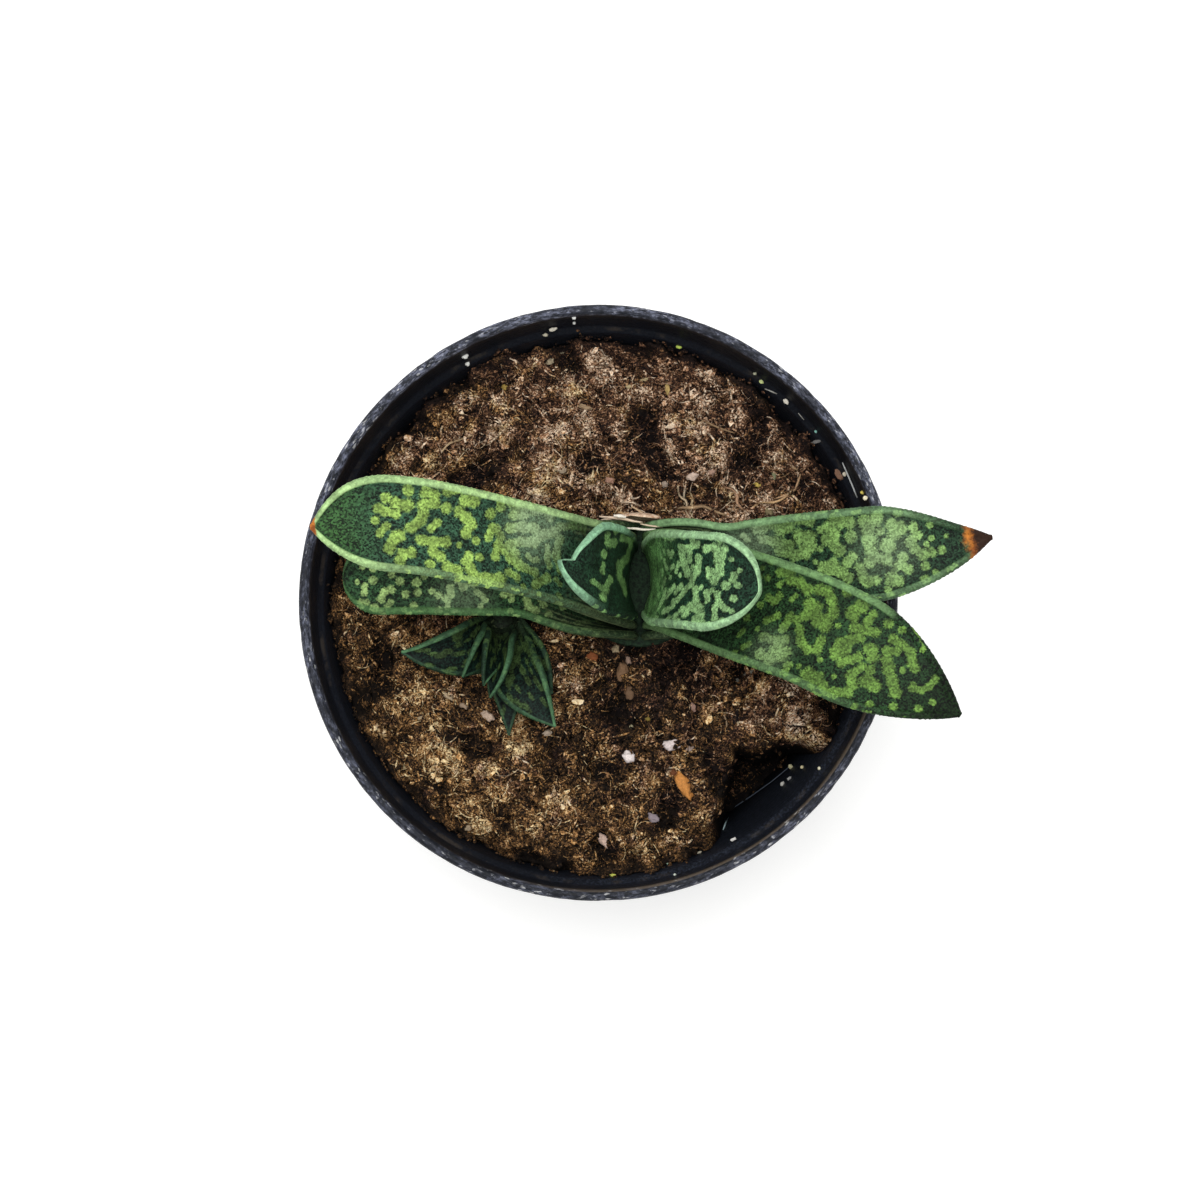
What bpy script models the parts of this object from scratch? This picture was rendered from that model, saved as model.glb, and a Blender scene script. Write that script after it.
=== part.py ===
# A gasteria in a round black nursery pot: two ranks of thick tongue-shaped leaves,
# and a young offset beside them. Metres, +Z up. The origin is the centre of the pot's base.
import math
import random

import bmesh
import bpy
from mathutils import Matrix, Vector, noise

# Lengths below are in millimetres, and MM turns them into metres where a mesh is made.
MM = 0.001
GAP = 0.3  # between two pieces that touch

# Pot
POT_HEIGHT = 92.0
RIM_RADIUS = 52.5
BASE_RADIUS = 37.0
WALL = 1.0
LIP_WIDTH = 1.9  # the rounded bead round the mouth
COLLAR_HEIGHT = 9.4  # the wider band under the lip
COLLAR_RADII = (50.0, 51.2)  # inside and outside at its foot
LEDGE_RISE = 1.1  # the slope from the wall to the collar
UNDER_COLLAR_RADIUS = 49.9
FLOOR = 1.2
FLOOR_RAISE = 1.6  # the ring with the drain holes stands this high off the ground
PAD_RADIUS = 12.0  # flat middle of the base
FOOT_INNER_RADIUS = 32.0
FOOT_BEVEL = 0.7
DRAIN_HOLES = 8
DRAIN_RADIUS = 3.6
DRAIN_CIRCLE = 22.0
POT_STEPS = 48
LIP_STEPS = 5

# Potting mix
SOIL_LEVEL = 81.6
SOIL_MOUNDS = 2.4
SOIL_CRUMBS = 2.4
SOIL_SEGMENTS = 60
SOIL_RINGS = 20
SOIL_EDGE_DROP = 1.8
HOLLOW_ANGLE = -46.5  # degrees; where the mix has come away from the wall
HOLLOW_INNER_RADIUS = 36.0
HOLLOW_SLANTS = (0.48, 0.62)  # its edge runs outward by this much a degree, on either side
HOLLOW_DEPTH = 24.0
CRUMBS = 62  # lumps of peat fused to the surface
CRUMB_SIZES = (1.7, 3.4)  # radii
CRUMB_REACH = 44.5  # none lies further from the pot's axis
LUMP_SPACE = 4.0  # room left round each of the larger things below
# Single larger things in the mix: x, y, half sizes along, across and up, and the way they point
NAMED_LUMPS = {
    "white_grain": ((13.2, -25.0), (1.5, 1.1, 1.3), 20.0),
    "small_white_grain": ((5.5, -27.2), (1.0, 1.0, 1.2), 0.0),
    "bark_chip": ((16.0, -31.8), (2.6, 1.2, 1.0), 105.0),
    "round_clod": ((-13.6, -25.6), (2.9, 2.5, 2.2), 30.0),
    "pale_flake": ((-22.9, -39.8), (2.0, 1.2, 1.0), 150.0),
    "yellow_grain": ((-16.9, 39.2), (1.2, 0.9, 1.2), 60.0),
}

# Parent plant
PLANT = (7.4, 4.2)  # x and y of its axis
PLANT_SOIL = 78.6  # the mix is this high round it, and flat within its clearing
PLANT_CLEARING = (13.0, 20.0)  # radii of the flat and of the slope round it
STEM_FLATTEN = 1.04  # the crown is wider in the plane of the two ranks
STEM_PROFILE = [(5.4, 64.0), (8.4, 70.0), (10.4, 75.0), (11.7, 78.6), (11.5, 79.2), (0.0, 79.2)]
STEM_STEPS = 24

# Offset
OFFSET = (-17.4, -3.4)
OFFSET_SOIL = 79.4
OFFSET_CLEARING = (5.0, 12.0)
OFFSET_LEAVES_CENTRE = (-19.4, -12.4)
OFFSET_LEAVES_CLEARING = (11.0, 17.0)
OFFSET_STEM_PROFILE = [(2.4, 71.0), (3.0, 78.6), (3.0, 80.2), (1.9, 81.3), (0.0, 82.0)]

# Places where the mix lies low: centre, its height there, radii of the flat and of the slope
CLEARINGS = [
    (PLANT, PLANT_SOIL, PLANT_CLEARING),
    (OFFSET, OFFSET_SOIL, OFFSET_CLEARING),
    (OFFSET_LEAVES_CENTRE, OFFSET_SOIL, OFFSET_LEAVES_CLEARING),
]
CLEARING_DEPTH = 0.92  # the share of the mounds and crumbs that is levelled there

LEAF_STATIONS = 22
LEAF_ACROSS = 8
OFFSET_LEAF_STATIONS = 9
OFFSET_LEAF_ACROSS = 5
TIP_CROWDING = 1.7  # stations lie closer together towards the tip
UPPER_SHARE = 0.12  # how much of the thickness lies above the middle surface
EDGE = 1.15  # thickness of a margin
TIP_SHARE = 0.22  # a leaf's thickness at its tip, as a share of the full one
THINNING = 0.42  # it thins over this share of its length
OPENING = 7.0  # a small leaf unfolds from its clasping base over this length

# Each leaf follows its spine from the crown to the tip. Widths are half widths round the leaf,
# clasp is half the angle that it wraps, and the pairs hold the value at the base and the one past
# the opening, the length over which the leaf unfolds.
# A tip narrows over its run, by a power, and is rounder the lower its bluntness is.
LEAVES = {
    "leaf_left_outer": {
        "spine": [(-2.0, 4.2, 79.5), (-2.0, 4.2, 81.6), (-3.6, 4.2, 84.6), (-6.8, 4.1, 87.4),
                  (-12.0, 4.0, 90.2), (-22.4, 3.9, 93.2), (-34.5, 4.0, 94.6), (-44.6, 3.6, 93.8)],
        "azimuths": (180.0, 181.0), "widths": (14.2, 6.2), "clasp": (1.52, 0.40), "opening": 20.0,
        "tip": (7.0, 2.0, 0.5), "thickness": (2.4, 4.6), "roll": -8.0,
    },
    "leaf_right_outer": {
        "spine": [(16.8, 4.2, 79.5), (16.8, 4.2, 81.6), (18.4, 4.4, 84.2), (21.8, 5.0, 87.0),
                  (28.0, 6.1, 91.0), (38.2, 6.9, 96.4), (48.4, 7.5, 101.2), (59.6, 8.6, 102.6),
                  (67.7, 10.2, 102.4)],
        "azimuths": (0.0, 6.0), "widths": (14.2, 7.9), "clasp": (1.52, 0.36), "opening": 15.0,
        "tip": (20.0, 1.5, 1.0), "thickness": (2.4, 5.2), "roll": 4.0,
    },
    "leaf_left_middle": {
        "spine": [(1.7, 4.2, 79.5), (1.7, 4.2, 83.6), (0.3, 4.6, 89.4), (-2.6, 5.4, 95.6),
                  (-7.2, 6.6, 101.8), (-16.8, 8.4, 109.6), (-26.5, 10.1, 115.0),
                  (-33.0, 10.8, 117.6), (-39.5, 11.0, 119.4), (-47.6, 10.2, 120.6)],
        "azimuths": (180.0, 179.0), "widths": (9.7, 7.8), "clasp": (1.15, 0.36), "opening": 27.0,
        "tip": (15.0, 2.8, 1.0), "thickness": (2.9, 5.8), "roll": 3.0,
    },
    "leaf_right_middle": {
        "spine": [(13.1, 4.2, 79.5), (13.1, 4.2, 84.0), (14.8, 3.4, 90.4), (18.2, 1.6, 96.8),
                  (24.0, -1.2, 102.8), (31.4, -4.4, 108.6), (37.2, -7.0, 112.0),
                  (44.0, -10.8, 114.6), (52.8, -16.2, 116.4), (60.2, -20.8, 116.6)],
        "azimuths": (0.0, -29.0), "widths": (9.7, 9.2), "clasp": (1.15, 0.36), "opening": 27.0,
        "tip": (22.0, 1.85, 1.0), "thickness": (2.9, 6.0), "roll": -2.0,
    },
    "leaf_left_inner": {
        "spine": [(5.1, 4.2, 79.5), (5.1, 4.2, 86.0), (4.4, 4.2, 95.0), (2.6, 4.1, 105.0),
                  (-0.6, 4.0, 114.6), (-3.2, 4.1, 119.8), (-6.1, 4.4, 123.4)],
        "azimuths": (180.0, 182.0), "widths": (6.4, 7.6), "clasp": (0.60, 0.40), "opening": 18.0,
        "tip": (16.0, 2.0, 0.8), "thickness": (2.3, 4.2), "roll": 0.0,
    },
    "leaf_right_inner": {
        "spine": [(9.7, 4.2, 79.5), (9.7, 4.2, 86.0), (11.0, 3.5, 97.0), (13.8, 2.5, 107.0),
                  (18.0, 1.4, 116.0), (22.0, 0.4, 121.8), (26.2, -0.9, 125.6)],
        "azimuths": (0.0, -12.0), "widths": (6.4, 8.0), "clasp": (0.60, 0.40), "opening": 18.0,
        "tip": (10.5, 2.0, 0.5), "thickness": (2.3, 4.6), "roll": 0.0,
    },
}
DRY_SHEATH = {
    "spine": [(6.6, 15.3, 79.5), (6.6, 15.3, 81.2), (6.2, 15.7, 84.0), (5.8, 15.5, 86.6)],
    "azimuths": (90.0, 92.0), "widths": (4.5, 4.8), "clasp": (0.2, 0.3),
    "tip": (2.6, 2.2, 1.0), "thickness": (0.9, 0.8), "roll": 0.0,
}
OFFSET_LEAVES = {
    "left": {
        "spine": [(-17.9, -4.6, 80.6), (-21.0, -7.0, 83.8), (-25.3, -8.6, 86.4), (-30.6, -9.2, 88.0),
                  (-34.7, -8.9, 88.5)],
        "azimuths": (205.0, 188.0), "widths": (3.6, 4.6), "clasp": (0.7, 0.5),
        "tip": (13.0, 1.5, 1.0), "thickness": (1.8, 2.2), "roll": -20.0,
    },
    "inner_1": {
        "spine": [(-18.0, -4.2, 81.0), (-19.8, -7.4, 86.6), (-21.8, -10.7, 90.0), (-23.7, -13.4, 91.5)],
        "azimuths": (236.0, 236.0), "widths": (2.2, 3.2), "clasp": (0.6, 0.5),
        "tip": (8.0, 1.7, 1.0), "thickness": (1.5, 1.6), "roll": -52.0,
    },
    "inner_2": {
        "spine": [(-17.8, -4.2, 81.2), (-18.6, -7.8, 88.0), (-19.3, -11.3, 92.0), (-19.9, -14.9, 94.0)],
        "azimuths": (254.0, 254.0), "widths": (2.0, 3.0), "clasp": (0.6, 0.5),
        "tip": (8.0, 1.7, 1.0), "thickness": (1.4, 1.5), "roll": -58.0,
    },
    "inner_3": {
        "spine": [(-17.2, -4.2, 81.0), (-17.0, -8.5, 87.4), (-17.6, -12.8, 91.0), (-19.0, -17.0, 92.3)],
        "azimuths": (276.0, 256.0), "widths": (2.0, 3.4), "clasp": (0.6, 0.5),
        "tip": (8.0, 1.7, 1.0), "thickness": (1.4, 1.6), "roll": 52.0,
    },
    "right": {
        "spine": [(-16.8, -4.2, 80.8), (-15.3, -10.2, 84.5), (-13.1, -14.6, 86.8), (-10.3, -18.6, 87.9),
                  (-7.6, -22.0, 88.0)],
        "azimuths": (288.0, 304.0), "widths": (3.2, 4.5), "clasp": (0.7, 0.5),
        "tip": (11.0, 1.6, 1.0), "thickness": (1.8, 2.2), "roll": 14.0,
    },
    "back": {
        "spine": [(-16.0, -3.4, 80.2), (-13.0, -7.4, 82.4), (-10.4, -11.4, 83.8), (-8.2, -16.0, 84.2)],
        "azimuths": (316.0, 298.0), "widths": (2.4, 2.6), "clasp": (0.7, 0.5),
        "tip": (9.0, 1.6, 1.0), "thickness": (1.5, 1.7), "roll": 8.0,
    },
    "low": {
        "spine": [(-17.2, -4.4, 80.2), (-16.6, -11.6, 81.8), (-16.1, -18.0, 82.6), (-15.9, -23.4, 82.4)],
        "azimuths": (270.0, 270.0), "widths": (2.8, 3.0), "clasp": (0.6, 0.3),
        "tip": (11.0, 1.3, 1.0), "thickness": (1.2, 1.2), "roll": 0.0,
    },
}

# Finishes: base colour, roughness
BLACK_PLASTIC = ("black_plastic", (0.022, 0.026, 0.032), 0.45)
PEAT = ("peat_mix", (0.13, 0.075, 0.042), 0.95)
LEAF_GREEN = ("spotted_leaf", (0.06, 0.16, 0.06), 0.5)
YOUNG_GREEN = ("offset_leaf", (0.03, 0.10, 0.05), 0.5)
CROWN = ("crown_tissue", (0.16, 0.18, 0.07), 0.7)
DRY_LEAF = ("dry_leaf", (0.42, 0.30, 0.17), 0.8)


def clear_scene():
    for obj in list(bpy.data.objects):
        bpy.data.objects.remove(obj, do_unlink=True)


def new_collection(name):
    collection = bpy.data.collections.new(name)
    bpy.context.scene.collection.children.link(collection)
    return collection


def finish_material(finish):
    name, colour, roughness = finish
    material = bpy.data.materials.get(name)
    if material is None:
        material = bpy.data.materials.new(name)
        material.use_nodes = True
        shader = material.node_tree.nodes["Principled BSDF"]
        shader.inputs["Base Color"].default_value = (*colour, 1.0)
        shader.inputs["Roughness"].default_value = roughness
        shader.inputs["Metallic"].default_value = 0.0
    return material


def add_object(name, mesh, finish, collection):
    obj = bpy.data.objects.new(name, mesh)
    collection.objects.link(obj)
    if finish:
        mesh.materials.append(finish_material(finish))
    return obj


def smoothstep(low, high, value):
    share = min(max((value - low) / (high - low), 0.0), 1.0)
    return share * share * (3.0 - 2.0 * share)


def lathe(name, profile, steps, finish, collection):
    """Turns a profile of (radius, height) that runs down its outer side."""
    mesh = bpy.data.meshes.new(name)
    points = [(radius * MM, 0.0, height * MM) for radius, height in profile]
    mesh.from_pydata(points, [(i, i + 1) for i in range(len(points) - 1)], [])
    obj = add_object(name, mesh, finish, collection)
    turn = obj.modifiers.new("turn", "SCREW")
    turn.axis = "Z"
    turn.steps = steps
    turn.render_steps = steps
    turn.use_merge_vertices = True
    turn.merge_threshold = 0.00001
    turn.use_smooth_shade = True
    return obj


def cut(obj, cutter):
    boolean = obj.modifiers.new("cut_" + cutter.name, "BOOLEAN")
    boolean.operation = "DIFFERENCE"
    boolean.solver = "EXACT"
    boolean.object = cutter
    cutter.hide_render = True
    cutter.display_type = "WIRE"


def wall_outer(height):
    """Outer radius of the plain wall below the collar."""
    top = POT_HEIGHT - COLLAR_HEIGHT
    return BASE_RADIUS + (UNDER_COLLAR_RADIUS - BASE_RADIUS) * height / top


def wall_inner(height):
    return wall_outer(height) - WALL


def mix_reach(height):
    """How far out the mix goes: just clear of the middle of the wall's facets."""
    return wall_inner(height) * math.cos(math.pi / POT_STEPS) - GAP


def pot_profile():
    ledge = POT_HEIGHT - COLLAR_HEIGHT
    bead = LIP_WIDTH / 2
    bead_centre = (RIM_RADIUS - bead, POT_HEIGHT - bead)
    slope = FLOOR_RAISE / 2
    inside = [
        (0.0, FLOOR),
        (PAD_RADIUS - slope, FLOOR),
        (PAD_RADIUS + slope, FLOOR + FLOOR_RAISE),
        (FOOT_INNER_RADIUS - slope, FLOOR + FLOOR_RAISE),
        (FOOT_INNER_RADIUS + slope, FLOOR),
        (BASE_RADIUS - 2 * WALL, FLOOR),
        (wall_inner(2 * FLOOR), 2 * FLOOR),
        (wall_inner(ledge), ledge),
        (COLLAR_RADII[0], ledge + LEDGE_RISE),
        (RIM_RADIUS - LIP_WIDTH, POT_HEIGHT - LIP_WIDTH),
    ]
    lip = []
    for i in range(LIP_STEPS + 1):
        turn = math.pi * (1.0 - i / LIP_STEPS)
        lip.append((bead_centre[0] + bead * math.cos(turn), bead_centre[1] + bead * math.sin(turn)))
    outside = [
        (RIM_RADIUS - bead / 2, POT_HEIGHT - LIP_WIDTH),
        (COLLAR_RADII[1] + GAP, POT_HEIGHT - LIP_WIDTH - GAP),
        (COLLAR_RADII[1], ledge + LEDGE_RISE),
        (wall_outer(ledge), ledge - GAP),
        (wall_outer(FOOT_BEVEL), FOOT_BEVEL),
        (BASE_RADIUS - FOOT_BEVEL, 0.0),
        (FOOT_INNER_RADIUS + slope, 0.0),
        (FOOT_INNER_RADIUS - slope, FLOOR_RAISE),
        (PAD_RADIUS + slope, FLOOR_RAISE),
        (PAD_RADIUS - slope, 0.0),
        (0.0, 0.0),
    ]
    return inside + lip + outside


def make_pot(parts, cutters):
    pot = lathe("pot", pot_profile(), POT_STEPS, BLACK_PLASTIC, parts)
    holes = bmesh.new()
    for i in range(DRAIN_HOLES):
        angle = 2 * math.pi * (i + 0.5) / DRAIN_HOLES
        place = Vector((math.cos(angle), math.sin(angle), 0.0)) * DRAIN_CIRCLE * MM
        place.z = (FLOOR_RAISE + FLOOR / 2) * MM
        turn = Matrix.Rotation(angle + math.radians(15.0), 4, "Z")
        bmesh.ops.create_cone(
            holes, cap_ends=True, segments=12, radius1=DRAIN_RADIUS * MM, radius2=DRAIN_RADIUS * MM,
            depth=3 * FLOOR * MM, matrix=Matrix.Translation(place) @ turn)
    mesh = bpy.data.meshes.new("drain_holes")
    holes.to_mesh(mesh)
    holes.free()
    cut(pot, add_object("drain_holes", mesh, None, cutters))


def soil_height(x, y):
    """Height of the mix: mounds and crumbs, low round the two stems, and a hollow at the wall."""
    radius = math.hypot(x, y)
    place = Vector((x, y, 3.7))
    height = SOIL_LEVEL + SOIL_MOUNDS * noise.fractal(place / 17.0, 1.0, 2.0, 2)
    height += SOIL_CRUMBS * noise.fractal(place / 5.0, 0.8, 2.0, 2)
    height -= SOIL_EDGE_DROP * smoothstep(41.0, 48.0, radius)
    for centre, level, (near, far) in CLEARINGS:
        away = math.hypot(x - centre[0], y - centre[1])
        height += (level - height) * (1.0 - smoothstep(near, far, away)) * CLEARING_DEPTH
    off_axis = math.degrees(math.atan2(y, x)) - HOLLOW_ANGLE
    inner = HOLLOW_INNER_RADIUS + abs(off_axis) * HOLLOW_SLANTS[off_axis > 0.0]
    inner += 1.6 * noise.noise(place / 5.0)
    height -= HOLLOW_DEPTH * smoothstep(inner - 1.0, inner + 3.2, radius)
    return height


def make_lump(name, place, half_sizes, heading, rough, draw, collection):
    """One lump: a sphere of 20 faces, uneven, sunk in the surface by a third of its height."""
    bm = bmesh.new()
    bmesh.ops.create_icosphere(bm, subdivisions=1, radius=1.0)
    for vert in bm.verts:
        vert.co *= 1.0 + rough * draw.uniform(-1.0, 1.0)
    turn = Matrix.Rotation(math.radians(heading), 4, "Z")
    sizes = Matrix.Diagonal((*half_sizes, 1.0))
    high = soil_height(*place) + 0.33 * half_sizes[2]
    bm.transform(Matrix.Scale(MM, 4) @ Matrix.Translation((*place, high)) @ turn @ sizes)
    mesh = bpy.data.meshes.new(name)
    bm.to_mesh(mesh)
    bm.free()
    return add_object(name, mesh, None, collection)


def make_lumps():
    """Seeded crumbs over the whole surface, clear of both plants, and the larger single things."""
    lumps = new_collection("lumps")
    draw = random.Random(4)
    spots = []
    while len(spots) < CRUMBS:
        angle = draw.uniform(0.0, 2 * math.pi)
        radius = CRUMB_REACH * math.sqrt(draw.random())
        x, y = radius * math.cos(angle), radius * math.sin(angle)
        size = draw.uniform(*CRUMB_SIZES)
        room = [math.hypot(x - centre[0], y - centre[1]) - flat for centre, _, (flat, _) in CLEARINGS]
        room += [math.hypot(x - spot[0], y - spot[1]) - 0.6 * spot[2] for spot in spots]
        room += [math.hypot(x - place[0], y - place[1]) - LUMP_SPACE for place, _, _ in NAMED_LUMPS.values()]
        if min(room) > size and soil_height(x, y) > SOIL_LEVEL - HOLLOW_DEPTH / 3:
            spots.append((x, y, size))
    for i, (x, y, size) in enumerate(spots):
        shape = (draw.uniform(0.9, 1.3), draw.uniform(0.7, 1.0), draw.uniform(0.6, 0.9))
        half_sizes = [size * share for share in shape]
        make_lump("crumb_%d" % i, (x, y), half_sizes, draw.uniform(0.0, 180.0), 0.22, draw, lumps)
    for name, (place, half_sizes, heading) in NAMED_LUMPS.items():
        make_lump(name, place, half_sizes, heading, 0.1, draw, lumps)
    return lumps


def make_soil(parts, cutters):
    bm = bmesh.new()
    floor = FLOOR + FLOOR_RAISE + GAP
    rings = []
    for j in range(1, SOIL_RINGS + 1):
        share = j / SOIL_RINGS
        ring = []
        for i in range(SOIL_SEGMENTS):
            angle = 2 * math.pi * (i + 0.5 * (j % 2)) / SOIL_SEGMENTS
            way = Vector((math.cos(angle), math.sin(angle)))
            spot = way * share * mix_reach(soil_height(*(way * mix_reach(SOIL_LEVEL))))
            ring.append(bm.verts.new((spot.x * MM, spot.y * MM, soil_height(*spot) * MM)))
        rings.append(ring)
    low = []
    for top in rings[-1]:
        way = Vector(top.co[:2]).normalized()
        low.append(bm.verts.new((*(way * mix_reach(floor) * MM), floor * MM)))
        top.co.xy = way * mix_reach(top.co.z / MM) * MM
    rings.append(low)
    middle = bm.verts.new((0.0, 0.0, soil_height(0.0, 0.0) * MM))
    for i in range(SOIL_SEGMENTS):
        bm.faces.new((middle, rings[0][i], rings[0][(i + 1) % SOIL_SEGMENTS]))
    for j in range(len(rings) - 1):
        inner, outer = rings[j], rings[j + 1]
        ahead = 0 if j % 2 == 0 or j == len(rings) - 2 else 1
        for i in range(SOIL_SEGMENTS):
            after = (i + 1) % SOIL_SEGMENTS
            if ahead:
                bm.faces.new((inner[i], outer[i], inner[after]))
                bm.faces.new((outer[i], outer[after], inner[after]))
            else:
                bm.faces.new((inner[i], outer[i], outer[after]))
                bm.faces.new((inner[i], outer[after], inner[after]))
    bm.faces.new(list(reversed(low)))
    bmesh.ops.recalc_face_normals(bm, faces=bm.faces)
    mesh = bpy.data.meshes.new("potting_mix")
    bm.to_mesh(mesh)
    bm.free()
    soil = fuse("potting_mix", add_object("plain_mix", mesh, PEAT, parts), make_lumps(), PEAT, parts)
    soil.data.shade_smooth()
    soil.data.set_sharp_from_angle(angle=math.radians(60))
    for name, centre, profile, flatten in (
        ("stem_hole", PLANT, STEM_PROFILE, STEM_FLATTEN),
        ("offset_stem_hole", OFFSET, OFFSET_STEM_PROFILE, 1.0),
    ):
        radius = max(r for r, _ in profile) + GAP
        bottom = profile[0][1] - GAP
        depth = POT_HEIGHT - bottom
        hole = bmesh.new()
        bmesh.ops.create_cone(
            hole, cap_ends=True, segments=STEM_STEPS, radius1=radius * MM, radius2=radius * MM,
            depth=depth * MM, matrix=Matrix.Translation((0.0, 0.0, (bottom + depth / 2) * MM)))
        bmesh.ops.scale(hole, vec=(flatten, 1.0, 1.0), verts=hole.verts)
        bmesh.ops.translate(hole, vec=(centre[0] * MM, centre[1] * MM, 0.0), verts=hole.verts)
        hole_mesh = bpy.data.meshes.new(name)
        hole.to_mesh(hole_mesh)
        hole.free()
        cut(soil, add_object(name, hole_mesh, None, cutters))


def make_stem(name, centre, profile, flatten, finish, collection):
    """A crown turned from its profile, which is given from the bottom up."""
    outline = list(reversed(profile)) + [(0.0, profile[0][1])]
    stem = lathe(name, outline, STEM_STEPS, finish, collection)
    stem.scale = (flatten, 1.0, 1.0)
    stem.location = (centre[0] * MM, centre[1] * MM, 0.0)
    return stem


def smooth_route(points, stations, crowding):
    """Points and distances along a curve through the given points, closer together at its end."""
    fine = []
    ends = [2 * points[0] - points[1]] + points + [2 * points[-1] - points[-2]]
    for i in range(1, len(ends) - 2):
        for k in range(12):
            t = k / 12
            a, b, c, d = ends[i - 1:i + 3]
            fine.append(0.5 * (2 * b + (c - a) * t + (2 * a - 5 * b + 4 * c - d) * t * t
                               + (3 * b - a - 3 * c + d) * t ** 3))
    fine.append(points[-1])
    distances = [0.0]
    for i in range(1, len(fine)):
        distances.append(distances[-1] + (fine[i] - fine[i - 1]).length)
    total = distances[-1]
    route = []
    k = 0
    for i in range(stations + 1):
        target = total * (1.0 - (1.0 - i / stations) ** crowding)
        while k < len(fine) - 2 and distances[k + 1] < target:
            k += 1
        share = (target - distances[k]) / (distances[k + 1] - distances[k])
        place = fine[k].lerp(fine[k + 1], share)
        way = fine[k + 1] - fine[k] if i else points[1] - points[0]
        route.append((place, way.normalized(), target, total - target))
    return route, total


def leaf_half_width(spec, along, to_tip):
    base, plain = spec["widths"]
    width = plain + (base - plain) * (1.0 - smoothstep(0.0, spec.get("opening", OPENING), along))
    run, power, bluntness = spec["tip"]
    width *= (1.0 - (1.0 - min(to_tip / run, 1.0)) ** power) ** bluntness
    return max(width, 0.16 + 0.2 * min(to_tip, 3.0))


def leaf_thickness(spec, along, to_tip, length):
    base, plain = spec["thickness"]
    thick = base + (plain - base) * smoothstep(0.0, 0.35 * length, along)
    return thick * (TIP_SHARE + (1.0 - TIP_SHARE) * min(to_tip / (THINNING * length), 1.0) ** 0.7)


def leaf_rings(spec, stations, across):
    """Closed sections along the spine: a channelled upper face and a rounded lower one."""
    route, length = smooth_route([Vector(p) for p in spec["spine"]], stations, TIP_CROWDING)
    first, last = spec["azimuths"]
    rings = []
    for place, along_way, along, to_tip in route:
        share = smoothstep(0.0, length, along)
        azimuth = math.radians(first + (last - first) * share)
        side = Vector((-math.sin(azimuth), math.cos(azimuth), 0.0))
        side = (side - side.dot(along_way) * along_way).normalized()
        side.rotate(Matrix.Rotation(math.radians(spec["roll"]) * smoothstep(0.0, 0.5 * length, along),
                                    3, along_way))
        up = along_way.cross(side).normalized()
        width = leaf_half_width(spec, along, to_tip)
        thick = leaf_thickness(spec, along, to_tip, length)
        edge = min(EDGE, 0.55 * thick)
        first_clasp, last_clasp = spec["clasp"]
        opened = smoothstep(0.0, spec.get("opening", OPENING), along)
        bend = width / (first_clasp + (last_clasp - first_clasp) * opened)
        upper, lower = [], []
        for k in range(across):
            reach = math.sin(math.pi / 2 * (2 * k / (across - 1) - 1))
            turn = reach * width / bend
            middle = place + side * bend * math.sin(turn) + up * bend * (1.0 - math.cos(turn))
            outward = up * math.cos(turn) - side * math.sin(turn)
            local = edge + (thick - edge) * (1.0 - reach * reach) ** 0.75
            upper.append((middle + outward * local * UPPER_SHARE) * MM)
            lower.append((middle - outward * local * (1.0 - UPPER_SHARE)) * MM)
        rings.append(upper + list(reversed(lower)))
    return rings


def make_leaf(name, spec, stations, across, finish, collection):
    """Lofts the sections of a leaf from its base to its tip."""
    bm = bmesh.new()
    rings = []
    for ring in leaf_rings(spec, stations, across):
        rings.append([bm.verts.new(point) for point in ring])
    count = len(rings[0])
    for inner, outer in zip(rings, rings[1:]):
        for i in range(count):
            after = (i + 1) % count
            bm.faces.new((inner[i], inner[after], outer[after], outer[i]))
    bm.faces.new(list(reversed(rings[0])))
    bm.faces.new(rings[-1])
    bmesh.ops.recalc_face_normals(bm, faces=bm.faces)
    bmesh.ops.triangulate(bm, faces=bm.faces)
    mesh = bpy.data.meshes.new(name)
    bm.to_mesh(mesh)
    bm.free()
    leaf = add_object(name, mesh, finish, collection)
    mesh.shade_smooth()
    mesh.set_sharp_from_angle(angle=math.radians(45))
    return leaf


def keep_outer_skin(mesh):
    """Fills the hollows that a union has sealed and drops loose scraps: the largest shell stays."""
    bm = bmesh.new()
    bm.from_mesh(mesh)
    unseen = set(bm.faces)
    shells = []
    while unseen:
        shell = []
        front = [unseen.pop()]
        while front:
            face = front.pop()
            shell.append(face)
            for edge in face.edges:
                for beside in edge.link_faces:
                    if beside in unseen:
                        unseen.remove(beside)
                        front.append(beside)
        shells.append(shell)
    shells.sort(key=len)
    for shell in shells[:-1]:
        bmesh.ops.delete(bm, geom=shell, context="FACES")
    bm.to_mesh(mesh)
    bm.free()


def fuse(name, core, pieces, finish, parts):
    """Joins a collection of pieces to their core in one body, and removes the pieces."""
    union = core.modifiers.new("union", "BOOLEAN")
    union.operation = "UNION"
    union.solver = "EXACT"
    union.operand_type = "COLLECTION"
    union.collection = pieces
    bpy.context.view_layer.update()
    depsgraph = bpy.context.evaluated_depsgraph_get()
    mesh = bpy.data.meshes.new_from_object(core.evaluated_get(depsgraph))
    mesh.name = name
    mesh.transform(core.matrix_world)
    mesh.materials.clear()
    keep_outer_skin(mesh)
    for obj in list(pieces.objects) + [core]:
        bpy.data.objects.remove(obj, do_unlink=True)
    bpy.data.collections.remove(pieces)
    return add_object(name, mesh, finish, parts)


def make_offset(parts):
    """The young plant: seven small leaves that grow out of one short stem."""
    stem = make_stem("offset_stem", OFFSET, OFFSET_STEM_PROFILE, 1.0, YOUNG_GREEN, parts)
    pieces = new_collection("offset_leaves")
    for name, spec in OFFSET_LEAVES.items():
        make_leaf("offset_" + name, spec, OFFSET_LEAF_STATIONS, OFFSET_LEAF_ACROSS, None, pieces)
    fuse("offset", stem, pieces, YOUNG_GREEN, parts)


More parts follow.
